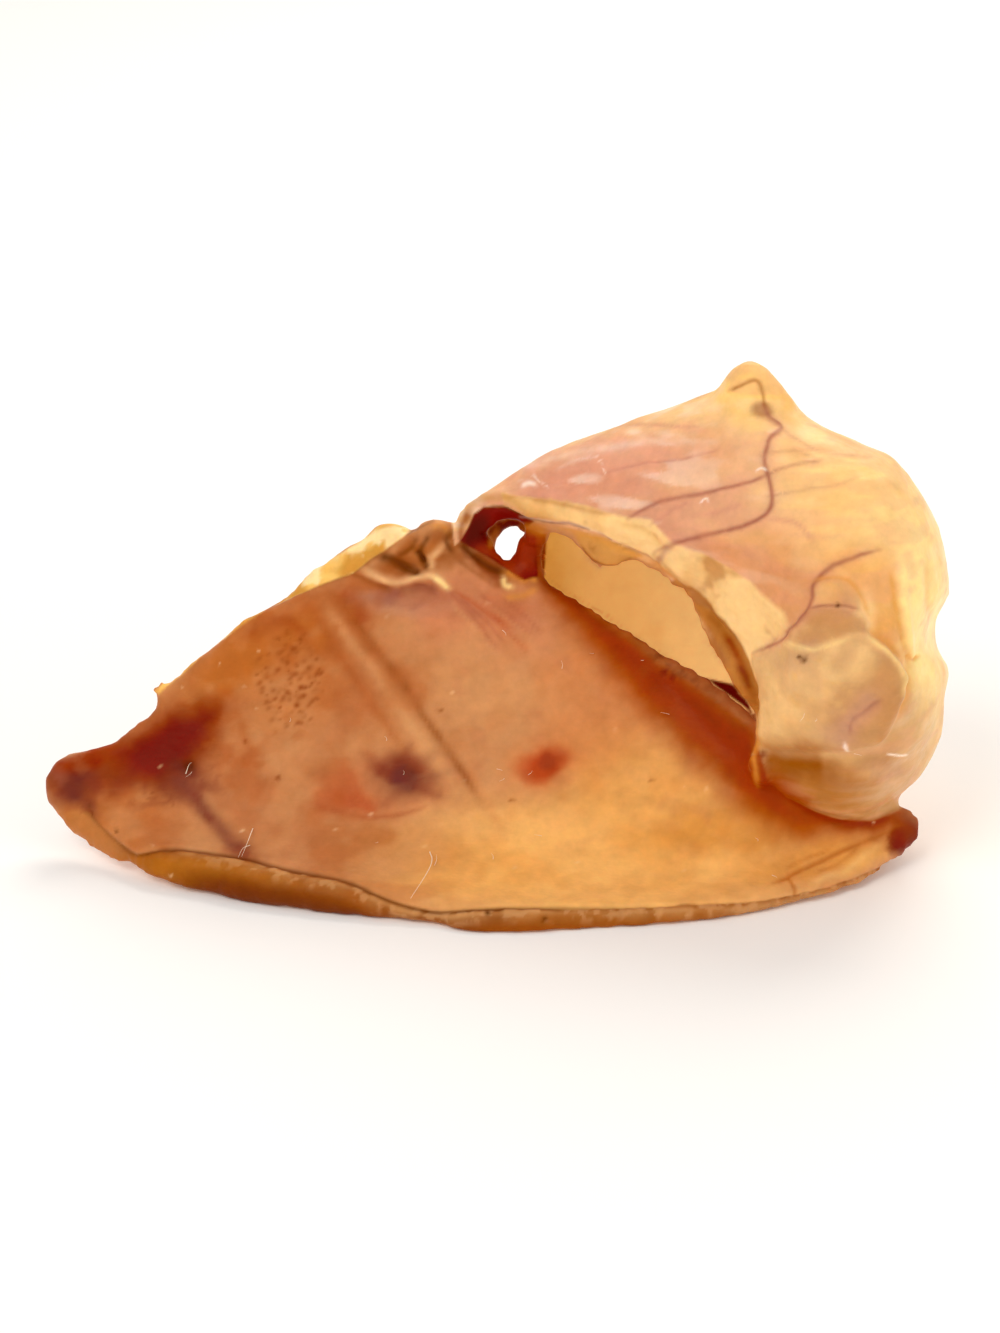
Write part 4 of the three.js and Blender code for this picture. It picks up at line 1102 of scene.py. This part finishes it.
def paintHood(colour, skin):
    look, hood, place, close = hoodLook, skin["hood"], skin["place"], skin["close"]
    across, down = skin["pixel"].T
    streaks = cloud(place * np.array(look["stretch"]), *look["streaks"])
    upperLeft = smooth(*look["upperLeft"], across)
    # painted sheen: the near-white streaks, stronger at the upper left
    for name, step, least, more in look["streakColours"]:
        colour = blendIn(colour, name, hood * smooth(*step, streaks) * (least + more * upperLeft))
    skin["relief"] += hood * (streaks - 0.5) * look["streakRaised"]

    edges = look["edges"]
    border = skin["loose"] * look["padBorder"][0] + close * look["padBorder"][1]
    rim = within(close, parts["rimFat"], edges["rimFat"]) * hood
    pad = within(border, parts["pad"], edges["pad"]) * hood * smooth(*look["padFoot"], down)
    upperPad = within(border, parts["upperPad"], edges["upperPad"]) * hood * (1 - pad)
    greyPad = within(close, parts["greyPad"], edges["greyPad"]) * hood
    for part, (name, strength) in zip((upperPad, greyPad, pad), look["padColours"]):
        colour = blendIn(colour, name, part * strength)
    clouded = cloud(place, *look["padClouds"])
    colour = addMottles(colour, clouded, look["padMottles"], pad + upperPad + greyPad)
    colour = addPatches(colour, skin["loose"], look["padPatches"], pad)
    colour = blendIn(colour, "fatPale", rim * look["rimPale"])
    colour = addMottles(colour, skin["mid"], look["rimMottles"], rim)
    colour = addMottles(colour, across, look["rimLeft"], rim)
    lumpy = cloud(place, *look["rimLumps"]) - 0.5
    raised = look["raised"]
    skin["relief"] += pad * raised["pad"] + greyPad * raised["greyPad"] + upperPad * raised["upperPad"]
    skin["relief"] += rim * (raised["rim"] + raised["lumps"] * lumpy)
    colour = addMottles(colour, lumpy, look["rimLines"], rim)
    colour = drawStrokes(colour, skin, hoodStrokes, hood)
    brown = within(close, parts["rimBrown"], edges["rimBrown"]) * skin["seen"] * (1 - skin["wall"])
    return blendIn(colour, "umber", brown * look["brown"])


# The mouth: the wall's colours across the view, partly painted light coming through the thin wall, then
# what stands before it
mouthLook = {
    "wallColours": [("wallPale", (600, 720), 0.9), ("wallDeep", (600, 540), 0.9)],
    # outline, colour, strength
    "layers": [
        # the roll's inside is painted shade over the skin's deep red
        ("rollInside", "rollDark", 1.0), ("darkFlap", "flap", 0.9), ("hangingFlap", "flapAmber", 0.85),
        # the dark red corner is painted shade on the inner wall
        ("paintedShadeCorner", "darkRed", 1.0), ("rimInner", "innerTan", 0.95),
    ],
    "edge": 1.6,
    # these stand at the rim, well in front of the far wall
    "nearParts": ["rimInner", "hangingFlap"],
    "patches": [
        # the roll-deep patch is painted shade deep in the roll; the small amber patch at 494, 537 is a
        # painted glow along the gap's edge
        ((534, 529), (16, 7), 10, "caramel", 0.8), ((476, 534), (12, 24), 20, "rollDeep", 0.9),
        ((502, 566), (22, 9), 30, "copper", 0.6), ((496, 560), (28, 15), 30, "deepOrange", 1.0),
        ((528, 550), (16, 26), 0, "deepOrange", 0.8), ((494, 537), (5, 12), 20, "peakAmber", 0.6),
    ],
}


def paintMouth(colour, skin):
    look, pixel, mouth, seen = mouthLook, skin["pixel"], skin["mouth"], skin["seen"]
    # the far wall is painted bright, palest on the right and deepest on the left: its own colour with
    # painted light that comes through the thin skin
    wall = addMottles(plain("wall", len(pixel)), pixel[:, 0], look["wallColours"], 1.0)
    share = skin["wall"][:, None]
    colour = colour * (1 - share) + wall * share
    for outline, name, strength in look["layers"]:
        part = within(pixel, parts[outline], look["edge"]) * seen
        if outline in look["nearParts"]:
            part *= skin["near"]
        colour = blendIn(colour, name, part * strength)
        skin["wall"] = skin["wall"] * (1 - part)
    colour = addPatches(colour, pixel, look["patches"], seen * mouth)
    return drawStrokes(colour, skin, rimStrokes, seen * np.maximum(skin["near"], 1 - mouth))


# The leaf: threads of colour, mottles on its left, painted shade under the lip over the skin's deeper
# orange, and the red place on the tip
leafLook = {
    "stretch": (0.8, 1.0, 1.4), "threads": (0.005, 14), "threadRaised": 0.3,
    "threadColours": [("rust", (0.54, 0.68), 0.1), ("ridgeTan", (0.46, 0.32), 0.14)],
    "leftwards": (480, 380),
    "leftMottles": [("rust", (0.52, 0.68), 0.25), ("ridgeTan", (0.48, 0.32), 0.3)],
    # outline, width of its soft edge in pixels, colour, strength
    "areas": [
        # the copper and deep orange under the lip are painted shade over the skin's deeper orange
        ("underLip", 20, "copper", 1.0), ("deepLip", 14, "deepOrange", 0.8),
        ("bruise", 24, "darkRed", 0.97),
    ],
    "markEdge": 0.15, "markDepth": 0.12,
}


def paintLeaf(colour, skin):
    look, leaf, place, pixel = leafLook, skin["leaf"], skin["place"], skin["pixel"]
    threads = cloud(place * np.array(look["stretch"]), *look["threads"])
    colour = addMottles(colour, threads, look["threadColours"], leaf)
    skin["relief"] += leaf * (threads - 0.5) * look["threadRaised"]
    leftwards = leaf * smooth(*look["leftwards"], pixel[:, 0])
    colour = addMottles(colour, skin["mid"], look["leftMottles"], leftwards)
    for outline, edge, name, strength in look["areas"]:
        colour = blendIn(colour, name, within(skin["loose"], parts[outline], edge) * leaf * strength)
    colour = drawStrokes(colour, skin, leafStrokes, leaf)
    for middle, reach, turn, size, limit, name, strength in markFields:
        area = patchWeight(pixel, middle, reach, turn) * skin["seen"]
        # the place across the view is the seed too, so no two fields have the same marks
        clouded = cloud(place, size * mm, int(middle[0]), 2)
        marks = smooth(limit, limit + look["markEdge"], clouded)
        colour = blendIn(colour, name, area * marks * strength)
        skin["relief"] -= area * marks * strength * look["markDepth"]
    return colour


# The cut front edge of the leaf, by pixels across the view and below the edge's upper corner
edgeLook = {
    "corner": (1, 17), "reach": 80, "edge": 1.3, "fatEdge": 1.6,
    "tip": [("underTip", (150, 110), 1.0)],
    "yellow": [((200, 872), (90, 16), 6, "edgeYellow", 1.0), ((640, 915), (150, 14), 0, "edgeYellow", 0.4)],
    "purpleBelow": (10, 30), "purpleFrom": (150, 220), "purpleTo": (470, 400), "purple": 0.85,
    "purplePatch": [((440, 922), (70, 14), 0, "edgePurple", 0.5)],
    "brownBelow": (8, 22), "brownFrom": (470, 520), "brown": 0.6,
    "lobeStretch": (1.0, 0.7, 0.7), "lobes": (0.0042, 12, 2), "lobeStep": (0.44, 0.6),
    "grains": (0.0014, 13, 2), "grainStep": (0.5, 0.62), "grainStrength": 0.35,
    "upper": (20, 5), "upperFrom": (150, 260), "upperPale": (0.15, 0.3),
    "lineFrom": (60, 200), "lineTo": (700, 470), "lineWidth": 1.9, "line": 0.75, "lineLeft": 0.3,
    "rimDown": 4.5, "rimWidth": 2.6, "rimFrom": (150, 220), "rimPale": (0.35, 0.4),
    "lobeRaised": 0.3, "lobeMiddle": 0.4, "grainRaised": 0.12, "grooveWidth": 2.2, "groove": 0.4,
    # the fat behind the crest, with paler spots that are painted highlights
    "fat": 0.95, "fatDeep": [("blobDeep", (0.48, 0.62), 0.75)], "fatRaised": 1.2, "fatLumps": (0.006, 22),
    "fatPale": [("blobPale", (0.46, 0.34), 0.8)], "fatClouds": (0.004, 23),
}


def paintEdge(colour, skin):
    # the cut front edge of the leaf and the fat behind its crest
    look, place, pixel, leaf = edgeLook, skin["place"], skin["pixel"], skin["leaf"]
    across = pixel[:, 0]
    band = within(skin["close"], parts["band"], look["edge"]) * leaf
    corner = bend(parts["band"][slice(*look["corner"])])
    gap = nearLine(pixel, corner, look["reach"])[0]
    base = addMottles(plain("edgeBrown", len(place)), across, look["tip"], 1.0)
    base = addPatches(base, pixel, look["yellow"])
    purple = smooth(*look["purpleBelow"], gap) * smooth(*look["purpleFrom"], across)
    base = blendIn(base, "edgePurple", purple * smooth(*look["purpleTo"], across) * look["purple"])
    base = addPatches(base, pixel, look["purplePatch"])
    brown = smooth(*look["brownBelow"], gap) * smooth(*look["brownFrom"], across)
    base = blendIn(base, "foldBrown", brown * look["brown"])
    colour = colour * (1 - band[:, None]) + base * band[:, None]

    lobes = smooth(*look["lobeStep"], cloud(place * np.array(look["lobeStretch"]), *look["lobes"]))
    grains = smooth(*look["grainStep"], cloud(place, *look["grains"]))
    upper = smooth(*look["upper"], gap) * smooth(*look["upperFrom"], across)
    least, more = look["upperPale"]
    colour = blendIn(colour, "edgePale", band * upper * (least + more * lobes))
    colour = blendIn(colour, "ridgePale", band * upper * grains * look["grainStrength"])
    # painted shade: a dark line in the crease along the corner, fainter at the tip; and a painted highlight
    # on the rounded edge just below it
    rightwards = look["lineLeft"] + (1 - look["lineLeft"]) * smooth(*look["lineFrom"], across)
    line = np.exp(-(gap / look["lineWidth"]) ** 2) * leaf * look["line"] * rightwards
    colour = blendIn(colour, "foldDark", line * smooth(*look["lineTo"], across))
    rimLight = np.exp(-((gap - look["rimDown"]) / look["rimWidth"]) ** 2) * band
    least, more = look["rimPale"]
    rimLight *= smooth(*look["rimFrom"], across) * (least + more * lobes)
    colour = blendIn(colour, "edgePale", rimLight)
    raised = look["lobeRaised"] * (lobes - look["lobeMiddle"]) + look["grainRaised"] * grains
    skin["relief"] += band * raised
    skin["relief"] -= np.exp(-(gap / look["grooveWidth"]) ** 2) * leaf * look["groove"]

    fat = within(skin["close"], parts["fat"], look["fatEdge"]) * skin["seen"]
    colour = blendIn(colour, "blob", fat * look["fat"])
    colour = addMottles(colour, skin["mid"], look["fatDeep"], fat)
    # painted highlights: paler spots scattered over the fat
    colour = addMottles(colour, cloud(place, *look["fatClouds"]), look["fatPale"], fat)
    skin["relief"] += fat * look["fatRaised"] * (cloud(place, *look["fatLumps"]) - 0.5)
    skin["band"] = band
    return colour


def addSpots(colour, skin):
    # the pits and dots that have a place of their own
    for x, y, radius, name, depth in spots:
        gap = np.hypot(skin["close"][:, 0] - x, skin["close"][:, 1] - y)
        touch = np.exp(-(gap / radius) ** 2) * skin["seen"]
        colour = blendIn(colour, name, touch * spotStrength)
        skin["relief"] -= touch * depth
    return colour


def addPaintedGlintFlecks(colour, skin):
    # painted highlights: pale glinting flecks, scattered over the leaf
    across, down = skin["pixel"].T
    rng = np.random.RandomState(paintedGlintFlecks["seed"])
    for k in range(paintedGlintFlecks["count"]):
        x, y = rng.uniform(*paintedGlintFlecks["across"]), rng.uniform(*paintedGlintFlecks["down"])
        radius = rng.uniform(*paintedGlintFlecks["size"])
        stretch = rng.uniform(*paintedGlintFlecks["stretch"])
        gap = np.hypot((across - x) / stretch, down - y)
        touch = np.exp(-(gap / radius) ** 2) * skin["leaf"]
        colour = blendIn(colour, "paintedGlintFleck", touch * rng.uniform(*paintedGlintFlecks["strength"]))
        skin["relief"] += touch * paintedGlintFlecks["raised"]
    return colour


def addPits(colour, skin):
    # small slanting pits, crowded in the middle of their patch
    across, down = skin["pixel"].T
    rng = np.random.RandomState(pits["seed"])
    for k in range(pits["count"]):
        turn, out = rng.uniform(0, 2 * math.pi), rng.uniform(0, 1) ** pits["crowding"]
        right = (across - pits["middle"][0] - pits["reach"][0] * out * math.cos(turn)) * pits["slant"]
        below = (down - pits["middle"][1] - pits["reach"][1] * out * math.sin(turn)) * pits["slant"]
        gap = np.hypot(right + below, (below - right) / rng.uniform(*pits["stretch"]))
        touch = np.exp(-(gap / rng.uniform(*pits["size"])) ** 2) * skin["leaf"]
        colour = blendIn(colour, "pit", touch * rng.uniform(*pits["strength"]))
        skin["relief"] -= touch * pits["depth"]
    return colour


skinFinish = {
    # the paint: mottling over everything, contrast, and the light that the surface's own shine adds
    "mottleStep": (0.54, 0.7), "mottle": (0.03, 0.08, 0.12), "depth": 1.08,
    "lightness": 0.98, "fineLight": 0.08, "grainLight": 0.06,
    "haze": (0.006, 0.008, 0.013), "darkest": 0.05,
    # mm of relief that the clouds add
    "bigRelief": 0.9, "midRelief": 0.5, "fineRelief": 0.12, "reliefPasses": 2,
    # painted glow: emission in the skin's own colour that stands in for the light coming through thin skin
    "wallGlow": 0.6, "hollowGlow": 0.12, "leafGlow": 0.08, "hoodGlow": 0.11,
    "roughness": 0.44, "roughMottle": 0.2, "roughHood": -0.1, "roughBand": 0.04, "roughLimits": (0.2, 0.8),
    # the surface
    "softWeight": 0.35, "softReach": 0.0022, "softColours": (1.0, 0.4, 0.15),
    "coat": 0.012, "coatRoughness": 0.2, "specular": 0.14, "specularTint": (1.0, 0.62, 0.3),
    "mottleNoise": {"Scale": 260.0, "Detail": 7, "Roughness": 0.65},
    "mottleShade": {"From Min": 0.3, "From Max": 0.7, "To Min": 0.9, "To Max": 1.08},
    "pores": {"Scale": 900.0}, "poreShare": 0.35,
    "wrinkles": {"Scale": 420.0, "Detail": 5, "Distortion": 0.6}, "wrinkleStretch": (0.35, 1.0, 1.6),
    "bumpDepth": 0.00014,
}


def paintSkin(skin):
    colour = paintHidden(skin)
    for paint in (paintHood, paintLeaf, paintMouth, paintEdge, addSpots, addPaintedGlintFlecks, addPits):
        colour = paint(colour, skin)
    look = skinFinish
    mottled = smooth(*look["mottleStep"], skin["mid"])[:, None]
    colour = colour * (1 - mottled * np.array(look["mottle"]))
    lightness = look["lightness"] + look["fineLight"] * skin["fine"] + look["grainLight"] * skin["grain"]
    colour = colour ** look["depth"] * lightness[:, None]
    return np.maximum(colour - np.array(look["haze"]), colour * look["darkest"])


def raiseSkin(piece, skin):
    # the relief that the painting gathered, with the clouds' own
    relief = skin["relief"]
    for name in ("big", "mid", "fine"):
        relief = relief + (skin[name] - 0.5) * skinFinish[name + "Relief"]
    relief = soften(relief, skin["ends"], skinFinish["reliefPasses"])
    place = skin["place"] + skin["normal"] * (relief * mm)[:, None]
    place[:, 2] = np.maximum(place[:, 2], 0.0)
    writePlaces(piece, place)


def dressSkin(piece):
    skin = readSkin(piece)
    colour = paintSkin(skin)
    raiseSkin(piece, skin)
    look, wall, hollow, hoodAll = skinFinish, skin["wall"], skin["hollow"], skin["hoodAll"]
    # painted glow: emission in the skin's own colour, strongest on the hollow's far wall, weaker in the
    # hollow and on the outside
    outside = look["leafGlow"] * (1 - hoodAll) + look["hoodGlow"] * hoodAll
    glow = wall * look["wallGlow"] + hollow * (1 - wall) * look["hollowGlow"]
    glow += (1 - hollow) * (1 - wall) * outside
    for name, values in (("skinColour", colour), ("paintedGlow", colour * glow[:, None])):
        paint = piece.data.color_attributes.new(name, "FLOAT_COLOR", "POINT")
        paint.data.foreach_set("color", np.column_stack((values, np.ones(len(values)))).ravel())
    rough = look["roughness"] + look["roughMottle"] * (skin["mid"] - 0.5)
    rough += look["roughHood"] * skin["hood"] + look["roughBand"] * skin["band"]
    layer = piece.data.attributes.new("skinRoughness", "FLOAT", "POINT")
    layer.data.foreach_set("value", np.clip(rough, *look["roughLimits"]))
    onlyChosen(piece)
    bpy.ops.object.shade_smooth()
    print("skin dressed:", len(colour), "vertices")


def skinMaterial():
    material, tree, surface = newMaterial("driedSkin")
    look, links = skinFinish, tree.links

    def node(kind, inputs=None, **values):
        made = tree.nodes.new(kind)
        for key, value in values.items():
            setattr(made, key, value)
        for key, value in (inputs or {}).items():
            made.inputs[key].default_value = value
        return made

    # the painted colour, a little lighter and darker by a fine mottle
    where = node("ShaderNodeTexCoord")
    paint = node("ShaderNodeAttribute", attribute_name="skinColour")
    glow = node("ShaderNodeAttribute", attribute_name="paintedGlow")
    rough = node("ShaderNodeAttribute", attribute_name="skinRoughness")
    mottle = node("ShaderNodeTexNoise", look["mottleNoise"])
    links.new(where.outputs["Object"], mottle.inputs["Vector"])
    shade = node("ShaderNodeMapRange", look["mottleShade"])
    links.new(mottle.outputs["Fac"], shade.inputs["Value"])
    tint = node("ShaderNodeVectorMath", operation="SCALE")
    links.new(paint.outputs["Color"], tint.inputs[0])
    links.new(shade.outputs["Result"], tint.inputs["Scale"])
    links.new(tint.outputs["Vector"], surface.inputs["Base Color"])
    # the painted glow drives the emission
    links.new(glow.outputs["Color"], surface.inputs["Emission Color"])

    # pores and fine wrinkles
    pores = node("ShaderNodeTexVoronoi", look["pores"])
    links.new(where.outputs["Object"], pores.inputs["Vector"])
    stretch = node("ShaderNodeMapping", {"Scale": look["wrinkleStretch"]})
    links.new(where.outputs["Object"], stretch.inputs["Vector"])
    wrinkle = node("ShaderNodeTexNoise", look["wrinkles"])
    links.new(stretch.outputs["Vector"], wrinkle.inputs["Vector"])
    height = node("ShaderNodeMath", {1: look["poreShare"]}, operation="MULTIPLY_ADD")
    links.new(pores.outputs["Distance"], height.inputs[0])
    links.new(wrinkle.outputs["Fac"], height.inputs[2])
    bump = node("ShaderNodeBump", {"Distance": look["bumpDepth"]})
    links.new(height.outputs[0], bump.inputs["Height"])
    links.new(bump.outputs["Normal"], surface.inputs["Normal"])
    links.new(rough.outputs["Fac"], surface.inputs["Roughness"])

    surface.subsurface_method = "RANDOM_WALK"
    values = {
        "Emission Strength": 1.0,
        "Subsurface Weight": look["softWeight"], "Subsurface Radius": look["softColours"],
        "Subsurface Scale": look["softReach"],
        "Specular IOR Level": look["specular"], "Specular Tint": (*look["specularTint"], 1),
        "Coat Weight": look["coat"], "Coat Roughness": look["coatRoughness"],
    }
    for key, value in values.items():
        surface.inputs[key].default_value = value
    return material


earSkin = makeSkin()
dressSkin(earSkin)
earSkin.data.materials.append(skinMaterial())
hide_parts("pig_ear")
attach(earSkin, "root")


hairs = {
    # pixels that a hair crosses, how far it lifts off the skin there in mm, thickness in mm
    "long": [
        ([(430, 853), (432, 866), (427, 882), (412, 902)], (0.3, 1.6, 2.2, 1.4), 0.24),
        ([(253, 829), (251, 838), (248, 848), (241, 860)], (0.2, 0.9, 1.2, 0.7), 0.2),
        ([(186, 774), (190, 767), (195, 763)], (0.2, 1.0, 1.8), 0.16),
        ([(250, 846), (243, 852), (238, 861)], (0.2, 0.8, 0.8), 0.16),
    ],
    # short ones stand anywhere in these pixels
    "shortCount": 24, "seed": 4, "across": (90, 880), "down": (600, 880), "reach": (3, 9),
    "shortLifts": (0.1, 0.5, 0.9), "shortThick": 0.1, "bow": 1,
    "tip": 0.3, "longest": 0.02,
    "colour": (252, 232, 206), "roughness": 0.35,
}


def planHairs():
    rng = np.random.RandomState(hairs["seed"])
    plans = list(hairs["long"])
    for k in range(hairs["shortCount"]):
        x, y = rng.uniform(*hairs["across"]), rng.uniform(*hairs["down"])
        way = rng.uniform(0, 2 * math.pi)
        reach = rng.uniform(*hairs["reach"])
        tip = (x + reach * math.cos(way), y + reach * math.sin(way))
        middle = ((x + tip[0]) / 2 + hairs["bow"], (y + tip[1]) / 2)
        plans.append(([(x, y), middle, tip], hairs["shortLifts"], hairs["shortThick"]))
    return plans


def makeHairs(skin):
    tree = facesTree(skin)
    made = []
    for pixels, lifts, thick in planHairs():
        points = onSkin(tree, pixels, lifts)
        # a hair that would bridge a gap in the skin is left out
        if len(points) == len(pixels) and math.dist(points[0], points[-1]) <= hairs["longest"]:
            line = bend(points, smallForms["steps"])
            made.append(tube(line, np.linspace(1.0, hairs["tip"], len(line)) * thick / 2 * mm))
    piece = joinAll(made)
    piece.name = "hairs"
    piece.data.materials.clear()
    material, surface = newMaterial("paleHair")[::2]
    surface.inputs["Base Color"].default_value = (*linear(hairs["colour"]), 1)
    surface.inputs["Roughness"].default_value = hairs["roughness"]
    piece.data.materials.append(material)
    bpy.ops.object.shade_smooth()
    return piece


hairPiece = makeHairs(earSkin)
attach(hairPiece, "root")
print("hairs placed")
